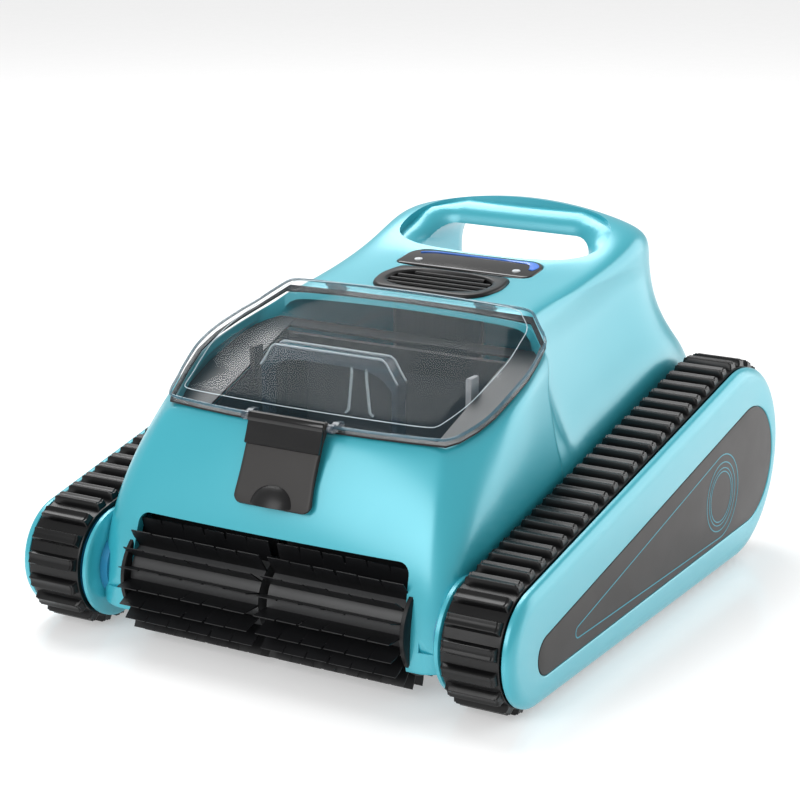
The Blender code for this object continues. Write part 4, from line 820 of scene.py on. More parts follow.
    def hub_web(self, side: Side) -> bpy.types.Object:
        """The deep-blue wheel web behind that opening: a rim, a hub and six spokes."""
        y, z = FRONT_AXLE
        x = side.value

        def hoop(name: str, low: float, high: float, steps: int) -> bpy.types.Object:
            """A flat ring between two radii."""
            near, far = x * 0.1205, x * 0.1262
            profile = np.array([(near, low), (near, high), (far, high), (far, low)])
            return turned(name, profile, "X", tuple(FRONT_AXLE), steps)

        web = hoop(f"hub_web_{side.word}", 0.0215, 0.0235, 60)
        hub = hoop("hub", 0.0090, 0.0120, 40)
        cut(web, hub, "UNION")
        for k in range(6):
            angle = math.radians(60 * k + 15)
            ahead = np.array((math.cos(angle), math.sin(angle)))
            beside = np.array((-ahead[1], ahead[0])) * 0.0011
            corners = ((0.0112, -1), (0.0222, -1), (0.0222, 1), (0.0112, 1))
            loop = np.array([(y, z) + ahead * r + beside * s for r, s in corners])
            cut(web, prism("spoke", loop, "X", (x * 0.1212, x * 0.1255)), "UNION")
        return settle(web, DEEP_BLUE, HOUSING)

    def wheel_guard(self, side: Side) -> bpy.types.Object:
        """The disc between the housing's leg and the front wheel, with a rolled edge and a rib."""
        x = side.value
        radius = FRONT_RADIUS - 0.0065
        profile = np.array([(x * (BODY_HALF - 0.0045), 0.0060), (x * (BODY_HALF - 0.0045), radius - 0.0020),
                            (x * (BODY_HALF - 0.0030), radius), (x * (BODY_HALF - 0.0006), radius),
                            (x * (BODY_HALF + 0.0004), radius - 0.0012), (x * (BODY_HALF + 0.0004), 0.0060)])
        guard = turned(f"wheel_guard_{side.word}", profile, "X", tuple(FRONT_AXLE), 72)
        return settle(guard, TURQUOISE, HOUSING, slot="satin_turquoise")


def rim_line(inward: float, between: int = 6) -> Array:
    """The lid's rim moved inwards over the top surface, as a closed list of points.

    Formula: the top surface is read along u at the two ends and along c at the two sides, each a
    distance inside the edge, where a place across is 1 minus that distance over the half width.

    Args:
        inward: distance inside the rim.
        between: points per station along the sides.

    Returns:
        n by 3 array, front edge first.
    """
    table = shell_table()[:LID_STATIONS]
    last = len(table) - 1
    first_u = inward / (table[1, 3] - table[0, 3])
    last_u = last - inward / (table[last, 1] - table[last - 1, 1])
    side_u = np.linspace(first_u, last_u, last * between)
    half = spline(table, side_u)[:, 0]
    side_c = 1 - inward / half
    front_c = np.linspace(-side_c[0], side_c[0], 25)[1:-1]
    rear_c = np.linspace(side_c[-1], -side_c[-1], 25)[1:-1]
    u = np.concatenate((0 * front_c + first_u, side_u, 0 * rear_c + last_u, side_u[::-1]))
    c = np.concatenate((front_c, side_c, rear_c, -side_c[::-1]))
    return soft_loop(top_patch(u, c, table), 3)


def soft_loop(loop: Array, times: int) -> Array:
    """Rounds a closed loop's corners: each point moves halfway to its neighbours' mean, times over."""
    for _ in range(times):
        loop = loop / 2 + (np.roll(loop, 1, 0) + np.roll(loop, -1, 0)) / 4
    return loop


def even_loop(loop: Array, count: int) -> Array:
    """Reads a closed loop again at evenly spaced places along its length."""
    closed = np.concatenate((loop, loop[:1]))
    reach = np.concatenate(([0], np.cumsum(np.linalg.norm(np.diff(closed, axis=0), axis=1))))
    at = np.linspace(0, reach[-1], count, endpoint=False)
    return np.stack([np.interp(at, reach, closed[:, k]) for k in range(loop.shape[1])], 1)


def grille_loop(grow: float) -> Array:
    """The vent's outline in plan: straight front and rear edges, sides bowed outwards."""
    low, high = GRILLE_Y
    corners = np.array([(-0.034, low), (0.034, low), (0.043, low + 0.008), (0.0475, low + 0.027),
                        (0.043, high), (-0.043, high), (-0.0475, low + 0.027), (-0.043, low + 0.008)])
    loop = soft_loop(even_loop(corners, 96), 6)
    return inset(loop, -grow)


def panel_loop(grow: float) -> Array:
    """The control panel's outline in plan: a straight front edge and large rear corners."""
    return inset(rounded_loop(PANEL_HALF, PANEL_Y[0], PANEL_Y[1], (0.0060, 0.0140), 12), -grow)


# ---- Lid and latch -------------------------------------------------------------------------------
@dataclass
class Lid:
    """The clear lid: a rim flange, a bevelled border, and a gently crowned top."""

    seat: float = 0.0030
    wall: float = 0.0024
    border: float = 0.0150
    border_rise: float = 0.0062
    crown: float = 0.0022
    rings: int = 26
    reach: float = 0.058
    middle_station: float = 4.6

    def surface(self, drop: float, inward: float) -> Array:
        """Closed loops from the rim to the middle.

        Formula: loop k lies a growing distance d inside the rim, found by drawing the rim line towards
        the lid's middle line; its rise is border_rise sin(quarter turn of d / border) up to the border,
        then the crown times (1 - (1 - t)^2) over the rest.

        Args:
            drop: how far under the lid's outer surface.
            inward: how far inside the outer rim.
        """
        rim = even_loop(rim_line(0.0010 + inward, 8), 200)
        table = shell_table()[:LID_STATIONS]
        loops = []
        steps = np.concatenate((np.linspace(0, self.border, 9),
                                np.linspace(self.border, self.reach, self.rings)[1:]))
        for d in steps:
            share = d / self.reach
            loop = self.drawn_in(rim, share, table)
            t = np.clip((d - self.border) / (self.reach - self.border), 0, 1)
            rise = self.border_rise * np.sin(np.clip(d / self.border, 0, 1) * math.pi / 2) ** 0.9
            rise = rise + self.crown * (1 - (1 - t) ** 2)
            loop = loop + np.array((0, 0, self.seat + self.wall + rise - drop))
            loops.append(loop)
        return np.array(loops)

    def drawn_in(self, rim: Array, share: float, table: Array) -> Array:
        """The rim line drawn towards the lid's middle by a share, kept on the top surface."""
        last = len(table) - 1
        u = np.clip(self.station_of(rim, table), 0, last)
        half = spline(table, u)[:, 0]
        c = rim[:, 0] / half
        u2 = self.middle_station + (u - self.middle_station) * (1 - share)
        c2 = c * (1 - share)
        return top_patch(u2, c2, table)

    def station_of(self, rim: Array, table: Array) -> Array:
        """The station number of each rim point, by its Y and its place across."""
        last = len(table) - 1
        u = np.full(len(rim), 4.0)
        for _ in range(30):
            row = spline(table, u)
            c = rim[:, 0] / row[:, 0]
            y = row[:, 3] + (row[:, 1] - row[:, 3]) * c * c
            u = np.clip(u + (rim[:, 1] - y) / 0.0155 * 0.8, 0, last)
        return u

    def build(self) -> list[bpy.types.Object]:
        """Builds the lid's shell and its latch ears and hinge arms."""
        outer = self.surface(0.0, 0.0)
        inner = self.surface(self.wall, self.wall * 0.6)
        skirt = outer[0] - np.array((0, 0, self.wall + 0.0002))
        loops = [*inner[::-1], skirt, *outer]
        count = len(outer[0])
        points = np.concatenate(loops)
        faces = strip_faces(len(loops), count, round_columns=True).tolist()
        tips = np.array([inner[-1].mean(0), outer[-1].mean(0)])
        base = len(points)
        top = (len(loops) - 1) * count
        faces += [[j, (j + 1) % count, base] for j in range(count)]
        faces += [[top + j, top + (j + 1) % count, base + 1] for j in range(count)]
        lid = put_mesh("clear_lid", np.concatenate((points, tips)), faces, 25.0)
        settle(lid, CLEAR, "lid", "lid", slot="clear_lid")
        # The pale bead is a painted highlight line along the lid's border; the first bead is a darker rim line.
        beads = (("lid_edge", 0.0006, 0.0010, RIM_CLEAR), ("lid_bead", 0.0075, 0.0003, HIGHLIGHT_CLEAR))
        made = [lid, *(self.rim_band(*bead) for bead in beads)]
        return made + self.fittings()

    def rim_band(self, name: str, reach: float, radius: float, finish: Finish) -> bpy.types.Object:
        """A fine bead that follows the lid's border, where the wall thickens; the pale one is a painted highlight line,
        the other a darker rim line.

        Args:
            name: object name.
            reach: how far inside the rim it runs.
            radius: its thickness, halved.
            finish: its finish.
        """
        bead = []
        rim = even_loop(rim_line(0.0010, 8), 200)
        table = shell_table()[:LID_STATIONS]
        line = self.drawn_in(rim, reach / self.reach, table)
        rise = self.border_rise * np.sin(min(reach / self.border, 1.0) * math.pi / 2) ** 0.9
        line = line + np.array((0, 0, self.seat + self.wall + rise - radius * 0.4))
        ahead = np.roll(line, -1, 0) - np.roll(line, 1, 0)
        ahead /= np.linalg.norm(ahead, axis=1, keepdims=True)
        side = np.cross(ahead, (0.0, 0.0, 1.0))
        side /= np.linalg.norm(side, axis=1, keepdims=True)
        up = np.cross(side, ahead)
        for a in np.linspace(0, 2 * math.pi, 8, endpoint=False):
            bead.append(line + radius * (math.cos(a) * side + math.sin(a) * up))
        grid = np.stack(bead, 1).reshape(-1, 3)
        band = put_mesh(name, grid, strip_faces(len(line), 8, True, True).tolist())
        return settle(band, finish, "lid", slot="clear_lid")

    def fittings(self) -> list[bpy.types.Object]:
        """The hinge knuckles with their arms, and the two ears that hold the latch pin."""
        made = []
        for side in Side:
            s = side.value
            knuckle = turned(f"lid_knuckle_{side.word}", np.array([
                (s * 0.0500, 0.0021), (s * 0.0500, 0.0034), (s * 0.0506, 0.0040), (s * 0.0629, 0.0040),
                (s * 0.0635, 0.0034), (s * 0.0635, 0.0021)]), "X", (-0.00705, 0.1975), 32)
            made.append(settle(knuckle, SMOKE, "lid", slot="clear_lid"))
            arm = np.array([(-0.0125, 0.1968), (-0.0108, 0.1968), (-0.0100, 0.2020), (-0.0108, 0.2042),
                            (-0.0130, 0.2052), (-0.0160, 0.2052), (-0.0160, 0.2034), (-0.0135, 0.2032)])
            piece = prism(f"lid_arm_{side.word}", arm, "X", (s * 0.0502, s * 0.0633))
            made.append(settle(piece, SMOKE, "lid", slot="clear_lid"))
            angle = np.linspace(math.radians(150), math.radians(-60), 12)
            nose = np.stack((LATCH_PIN[0] + 0.0030 * np.cos(angle + math.pi / 2),
                             LATCH_PIN[1] + 0.0030 * np.sin(angle + math.pi / 2)), 1)
            back = np.array([(-0.1545, 0.1531), (-0.1500, 0.1540), (-0.1500, 0.1560), (-0.1560, 0.1566)])
            loop = np.concatenate((nose if nose[0, 1] > nose[-1, 1] else nose[::-1], back))
            ear = prism(f"latch_ear_{side.word}", loop, "X", (s * 0.0292, s * 0.0335))
            made.append(settle(ear, SMOKE, "lid", slot="clear_lid"))
        return made


@dataclass
class Latch:
    """The latch: a barrel on its pin, a plate down the front, and a domed finger pull."""

    half: float = 0.0282
    pin: tuple = LATCH_PIN

    def plate(self) -> bpy.types.Object:
        """The plate, as a closed side profile carried across X and drawn in at its two ends.

        Formula: at place t across, from -1 to 1, the profile stands at half t; its lower part is a
        little narrower than its top, and the last 1.2 mm at each end curve in by a quarter round.
        """
        y, z = self.pin
        angle = np.radians(np.linspace(228, -72, 20))[::-1]
        barrel = np.stack((y + 0.0036 * np.cos(angle), z + 0.0036 * np.sin(angle)), 1)
        down = np.array([(y - 0.0078, z - 0.0150), (y - 0.0217, z - 0.0470), (y - 0.0223, z - 0.0492),
                         (y - 0.0218, z - 0.0500), (y - 0.0200, z - 0.0500), (y - 0.0190, z - 0.0475),
                         (y - 0.0052, z - 0.0150)])
        front = np.linspace(0, 1, 10)[1:-1, None] * (down[1] - down[0]) + down[0]
        back = np.linspace(0, 1, 10)[1:-1, None] * (down[6] - down[5]) + down[5]
        loop = np.concatenate((barrel, down[:1], front, down[1:6], back, down[6:]))
        centre = np.concatenate((np.repeat(np.array([[y, z]]), 20, 0), (loop[20:] + loop[20:][::-1]) / 2))
        drop = np.clip((z - loop[:, 1]) / 0.05, 0, 1)
        half = self.half - 0.0016 * np.sin(drop * math.pi)
        loops = []
        ends = ((1.0, 0.45), (0.992, 0.75), (0.975, 0.93), (0.95, 1.0), (0.91, 1.0), (0.87, 1.0),
                (0.80, 1.0), (0.5, 1.0))
        for t, keep in (*((-t, keep) for t, keep in ends), (0.0, 1.0), *ends[::-1]):
            corner = 0.0055 * (1 - math.sqrt(1 - np.clip((abs(t) - 0.80) / 0.20, 0, 1) ** 2))
            drawn = centre + (loop - centre) * keep
            drawn += np.outer(drop, (0.42 * corner, corner))
            loops.append(place(drawn, "X", half * t))
        return stack("latch_plate", loops, 35.0)

    def roll(self) -> bpy.types.Object:
        """The black cap that wraps the barrel and ends in a step on the plate."""
        y, z = self.pin
        angle = np.radians(np.linspace(128, 200, 12))
        ring = np.stack((np.cos(angle), np.sin(angle)), 1)
        outer = np.concatenate((self.pin + 0.0046 * ring,
                                [(y - 0.0066, z - 0.0080), (y - 0.0093, z - 0.0145)]))
        inner = np.concatenate((self.pin + 0.0037 * ring,
                                [(y - 0.0054, z - 0.0085), (y - 0.0081, z - 0.0155)]))
        loop = np.concatenate((outer, inner[::-1]))
        centre = loop.mean(0)
        loops = []
        for t, keep in ((-1.0, 0.97), (-0.985, 1.0), (0.0, 1.0), (0.985, 1.0), (1.0, 0.97)):
            loops.append(place(centre + (loop - centre) * keep, "X", (self.half - 0.0009) * t))
        return stack("latch_roll", loops, 35.0)

    def dome(self) -> bpy.types.Object:
        """The finger pull: half an oval dome standing on the plate, open at its foot.

        Formula: over angles a across and b up, the surface stands 6.8 cos a cos b mm proud of the plate.
        """
        y, z = self.pin
        a = np.linspace(-math.pi / 2, math.pi / 2, 25)
        b = np.linspace(0.0, math.pi / 2, 13)
        a, b = np.meshgrid(a, b, indexing="ij")
        x = 0.0150 * np.sin(a)
        up = 0.0118 * np.cos(a) * np.sin(b)
        out = 0.0068 * np.cos(a) * np.cos(b)
        base_z = z - 0.0478
        lean = 0.43
        points = np.stack((x, y - 0.0208 - out + (up * lean), base_z + up), -1)
        wall = np.stack((x * 0.86, y - 0.0206 - out * 0.78 + (up * 0.86 * lean), base_z + up * 0.86), -1)
        rows, columns = points.shape[:2]
        faces = strip_faces(rows, columns)
        other = strip_faces(rows, columns)[:, ::-1] + rows * columns
        edge = [i * columns for i in range(rows)]
        rim = [[p, q, q + rows * columns, p + rows * columns] for p, q in zip(edge, edge[1:])]
        last = [i * columns + columns - 1 for i in range(rows)]
        seam = [[p, q, q + rows * columns, p + rows * columns] for p, q in zip(last, last[1:])]
        return put_mesh("latch_dome", np.concatenate((points.reshape(-1, 3), wall.reshape(-1, 3))),
                        faces.tolist() + other.tolist() + rim + seam, 50.0)

    def build(self) -> list[bpy.types.Object]:
        """Builds the latch and its pull."""
        return [settle(self.plate(), CHARCOAL, "latch", "latch", slot="charcoal_plastic"),
                settle(self.roll(), GLOSS, "latch", slot="gloss_black"),
                settle(self.dome(), BLACK, "latch", slot="charcoal_plastic")]


# ---- Tracks --------------------------------------------------------------------------------------
@dataclass
class Track:
    """One lugged rubber belt with its side cover and inlay."""

    side: Side
    lugs: int = 65
    lug_height: float = 0.0050
    belt: float = 0.0030
    inner_x: float = 0.1343
    length: float = 0.0365
    edge: float = 0.0011
    cover_back: float = 0.1731
    cover_face: float = 0.1801
    inlay_depth: float = 0.0017

    def centre_line(self, s: Array, offset: Array) -> tuple[Array, Array]:
        """Places on the belt at length s, a distance outside the lug roots' midline.

        Formula: the belt's midline is a lower straight, the rear arc, the upper straight and the front
        arc; on an arc the angle is the length over the radius.
        """
        ends, (rear, front), (low, high) = self.runs()
        s = s % ends[-1]
        angle = np.select([s < ends[0], s < ends[1], s < ends[2]],
                          [0 * s + low, low + (s - ends[0]) / rear, 0 * s + high],
                          high + (s - ends[2]) / front)
        centre_y, centre_z = (np.select([s < ends[0], s < ends[2]], [0 * s + f, 0 * s + r], 0 * s + f)
                              for f, r in zip(FRONT_AXLE, REAR_AXLE))
        radius = np.select([s < ends[0], s < ends[2]], [0 * s + front, 0 * s + rear], 0 * s + front)
        run = np.select([s < ends[0], s < ends[1], s < ends[2]], [s, 0 * s, s - ends[1]], 0 * s)
        size = radius + offset
        y = centre_y + size * np.cos(angle) - run * np.sin(angle)
        z = centre_z + size * np.sin(angle) + run * np.cos(angle)
        return y, z

    def runs(self) -> tuple[Array, tuple, tuple]:
        """The lengths at which the midline's four runs end, its rear and front radii, and the
        directions of the lower and the upper straight's outward normals."""
        depth = self.lug_height + self.belt / 2
        across = REAR_AXLE - FRONT_AXLE
        heading = math.atan2(across[1], across[0])
        spread = math.acos((FRONT_RADIUS - REAR_RADIUS) / math.hypot(*across))
        straight = math.hypot(*across) * math.sin(spread)
        rear, front = REAR_RADIUS - depth, FRONT_RADIUS - depth
        ends = np.cumsum((straight, 2 * spread * rear, straight, (2 * math.pi - 2 * spread) * front))
        return ends, (rear, front), (heading - spread, heading + spread)

    def build_belt(self) -> bpy.types.Object:
        """The belt as one closed surface.

        Formula: over length s and place across v, the outer surface stands half the belt plus a lug
        height proud, times a flat-topped bump of s and a taper over the last 3 mm of v; each lug's top
        carries two fine ridges along it and a shallow groove between them.
        """
        ends = self.runs()[0]
        total, top_end = ends[3], ends[2]
        pitch = total / self.lugs
        local = np.array((-0.5, -0.32, -0.295, -0.27, -0.215, -0.19, -0.15, -0.08, 0.0, 0.08, 0.15, 0.19,
                          0.215, 0.27, 0.295, 0.32))
        s = (top_end + (np.arange(self.lugs)[:, None] + local) * pitch).ravel()
        place_in = np.abs(np.tile(local, self.lugs))
        bump = np.clip((0.300 - place_in) / 0.085, 0, 1)
        bump = bump * bump * (3 - 2 * bump)
        ridge = np.exp(-((place_in - 0.170) / 0.045) ** 2) * 0.0009 - 0.0009
        half_length = self.length / 2
        v = np.array((-1.03, -1.0, -0.985, -0.95, -0.90, -0.86, -0.80, -0.4, 0.0, 0.4, 0.80, 0.86, 0.90,
                      0.95, 0.985, 1.0, 1.03)) * half_length
        reach = (half_length - np.abs(v)) / half_length
        taper = np.clip(reach / 0.05, 0, 1) ** 0.6
        step = np.where(reach > 0.12, 0.0, -0.0007)
        lug = self.lug_height + ridge[:, None] + step * (taper > 0)
        height = self.belt / 2 + bump[:, None] * taper * lug
        height = np.minimum(height, self.belt / 2 + self.lug_height)
        y, z = self.centre_line(s[:, None] + 0 * v, height)
        middle = self.inner_x + half_length
        x = self.side.value * (middle + v) + 0 * y
        outer = np.stack((x, y, z), -1)
        flat_v = v[[0, -1]] * (half_length + self.edge) / (half_length * 1.03)
        y, z = self.centre_line(s[:, None] + 0 * flat_v, 0 * s[:, None] + self.belt / 2 - 0.0002)
        edge = np.stack((self.side.value * (middle + flat_v) + 0 * y, y, z), -1)
        y, z = self.centre_line(s[:, None] + 0 * flat_v, 0 * s[:, None] - self.belt / 2)
        inside = np.stack((self.side.value * (middle + flat_v) + 0 * y, y, z), -1)
        ring = np.concatenate((edge[:, :1], outer, edge[:, 1:], inside[:, 1:], inside[:, :1]), 1)
        rows, columns = ring.shape[:2]
        belt = put_mesh(f"belt_{self.side.word}", ring.reshape(-1, 3),
                        strip_faces(rows, columns, True, True).tolist(), 38.0)
        return settle(belt, RUBBER, HOUSING, f"track_belt_{self.side.word}", slot="black_rubber")

    def hull(self, drawn_in: float) -> Array:
        """The lug tips' outline moved inwards."""
        return two_circle_hull(FRONT_AXLE, FRONT_RADIUS - drawn_in, REAR_AXLE, REAR_RADIUS - drawn_in, 56, 40)

    def inlay_loop(self, drawn_in: float) -> Array:
        """The inlay's outline moved inwards."""
        return two_circle_hull(np.array((-0.15905, 0.0355)), 0.0125 - drawn_in,
                               np.array((0.15095, 0.0697)), 0.0415 - drawn_in, 56, 40)

    def build_cover(self) -> list[bpy.types.Object]:
        """The side cover with its rolled edge and the recess for the inlay.

        Formula: loops of the track's outline are drawn in by 9.5 (1 - cos a) mm while they stand out by
        2.1 + 4.9 sin a mm, for a up to a quarter turn; the face then runs to the inlay's recess.
        """
        s = self.side.value
        depth = self.cover_face - self.cover_back
        loops = [place(self.hull(drawn), "X", s * (self.cover_back + out))
                 for drawn, out in ((0.0085, 0.0), (0.0058, 0.0), (0.0055, 0.0004))]
        for a in np.linspace(0, math.pi / 2, 10):
            out = self.cover_back + depth * (0.30 + 0.70 * math.sin(a))
            loops.append(place(self.hull(0.0055 + 0.0095 * (1 - math.cos(a))), "X", s * out))
        floor = self.cover_face - self.inlay_depth
        for drawn, out in ((-0.0014, self.cover_face), (-0.0010, self.cover_face - 0.0001),
                           (-0.0005, self.cover_face - 0.0005), (-0.0004, floor)):
            loops.append(place(self.inlay_loop(drawn), "X", s * out))
        cover = stack(f"cover_{self.side.word}", loops, 30.0)
        settle(cover, TURQUOISE, HOUSING, f"side_cover_{self.side.word}", slot="satin_turquoise")
        face = self.cover_face - 0.0002
        plate = [place(self.inlay_loop(0.0), "X", s * (floor + 0.0001))]
        for a in np.linspace(0, math.pi / 2, 5):
            plate.append(place(self.inlay_loop(0.0008 * (1 - math.cos(a))), "X",
                               s * (face - 0.0008 * (1 - math.sin(a)))))
        inlay = stack(f"inlay_{self.side.word}", plate, 30.0)
        settle(inlay, INLAY, HOUSING, f"side_inlay_{self.side.word}", slot="charcoal_plastic")
        return [cover, inlay, *self.pinstripes(face)]

    def pinstripes(self, face: float) -> list[bpy.types.Object]:
        """Plain raised lines on the inlay: a long loop, and two rings in its wide end."""
        s = self.side.value
        made = []
        centre = np.array((0.1016, 0.0604))
        loop = two_circle_hull(np.array((-0.1180, 0.0363)), 0.0042, centre, 0.0300, 60, 40)
        turn = np.linspace(0, 2 * math.pi, 96, endpoint=False)
        ring = np.stack((np.cos(turn), np.sin(turn)), 1)
        for name, line, width in (("long_line", loop, 0.00075),
                                  ("outer_ring", centre + ring * 0.0245, 0.0007),
                                  ("middle_ring", centre + ring * 0.0205, 0.0006),
                                  ("inner_ring", centre + ring * 0.0180, 0.0007)):
            loops = [place(inset(line, drawn), "X", s * (face + rise)) for drawn, rise in
                     ((0.0, -0.0003), (0.0, 0.00012), (width, 0.00012), (width, -0.0003))]
            points = np.stack(loops, 0)
            faces = strip_faces(4, points.shape[1], True, True)
            piece = put_mesh(f"{name}_{self.side.word}", points.reshape(-1, 3), faces.tolist(), 30.0)
            made.append(settle(piece, LINE, HOUSING))
        return made

    def build(self) -> list[bpy.types.Object]:
        """Builds the belt, the cover, the inlay and its lines."""
        return [self.build_belt(), *self.build_cover()]


# ---- Brush ---------------------------------------------------------------------------------------
@dataclass
class Brush:
    """One half of the roller brush: a rubber core with long notched fins."""

    side: Side
    fins: int = 20
    radius: float = 0.0404
    core: float = 0.0250
    near: float = 0.0032
    far: float = 0.1005
    notch: float = 0.0162

    def fin(self, angle: float) -> tuple[Array, Array]:
        """One fin as a closed strip.

        Formula: over place x along the roller and r outwards, the fin lies at a fixed angle, 1.2 mm
        thick at its root and 0.6 mm at its edge; at every notch its edge drops by 5 mm over half a
        millimetre to each side, and between notches it leans a little one way and the other.
        """
        count = int((self.far - self.near) / self.notch * 24)
        x = np.linspace(self.near, self.far, count)
        phase = (x - self.near) / self.notch
        nearest = np.abs(phase - np.round(phase)) * self.notch
        edge = np.where((nearest < 0.0005) & (phase > 0.3), self.radius - 0.0050, self.radius)
        lean = 0.0002 * np.sin(np.floor(phase) * 2.3 + angle * 5.0)
        reach = np.linspace(0, 1, 4)[:, None]
        r = (self.core - 0.001) + (edge - self.core + 0.001) * reach
        thick = (0.0012 - 0.0006 * reach) / 2 + 0 * x
        bend = lean * reach**2
        rows = []
        for sign in (1, -1):
            offset = bend + sign * thick
            y = FRONT_AXLE[0] + r * math.cos(angle) - offset * math.sin(angle)
            z = FRONT_AXLE[1] + r * math.sin(angle) + offset * math.cos(angle)
            rows.append(np.stack((self.side.value * x + 0 * y, y, z), -1))
        ring = np.concatenate((rows[0], rows[1][::-1]), 0)
        points = ring.transpose(1, 0, 2)
        return points.reshape(-1, 3), np.array(points.shape[:2])

    def build(self) -> list[bpy.types.Object]:
        """Builds the fins as one piece and the core as another."""
        points, faces, base = [], [], 0
        for k in range(self.fins):
            fin, (rows, columns) = self.fin(2 * math.pi * k / self.fins)
            points.append(fin)
            faces += [[i + base for i in face] for face in tube_faces(int(rows), int(columns))]
            base += len(fin)
        body = f"front_drive_{self.side.word}"
        fins = put_mesh(f"brush_fins_{self.side.word}", np.concatenate(points), faces, 30.0)
        settle(fins, BRUSH_RUBBER, body, f"brush_{self.side.word}", slot="brush_rubber")
        s = self.side.value
        x = np.linspace(self.near, self.far, 61)
        outer = np.stack((s * x, np.full(61, self.core)), 1)
        profile = np.concatenate(([[s * self.near, 0.0046]], outer, [[s * self.far, 0.0046]]))
        core = turned(f"brush_core_{self.side.word}", profile, "X", tuple(FRONT_AXLE), 60)
        settle(core, GREY, body, slot="brush_rubber")
        end = turned(f"brush_end_{self.side.word}", np.array([
            (s * 0.1008, 0.0094), (s * 0.1008, 0.0300), (s * 0.1016, 0.0312), (s * 0.1040, 0.0312),
            (s * 0.1048, 0.0300), (s * 0.1048, 0.0094)]), "X", tuple(FRONT_AXLE), 60)
        settle(end, BLACK, body, slot="black_plastic")
        return [fins, core, end]


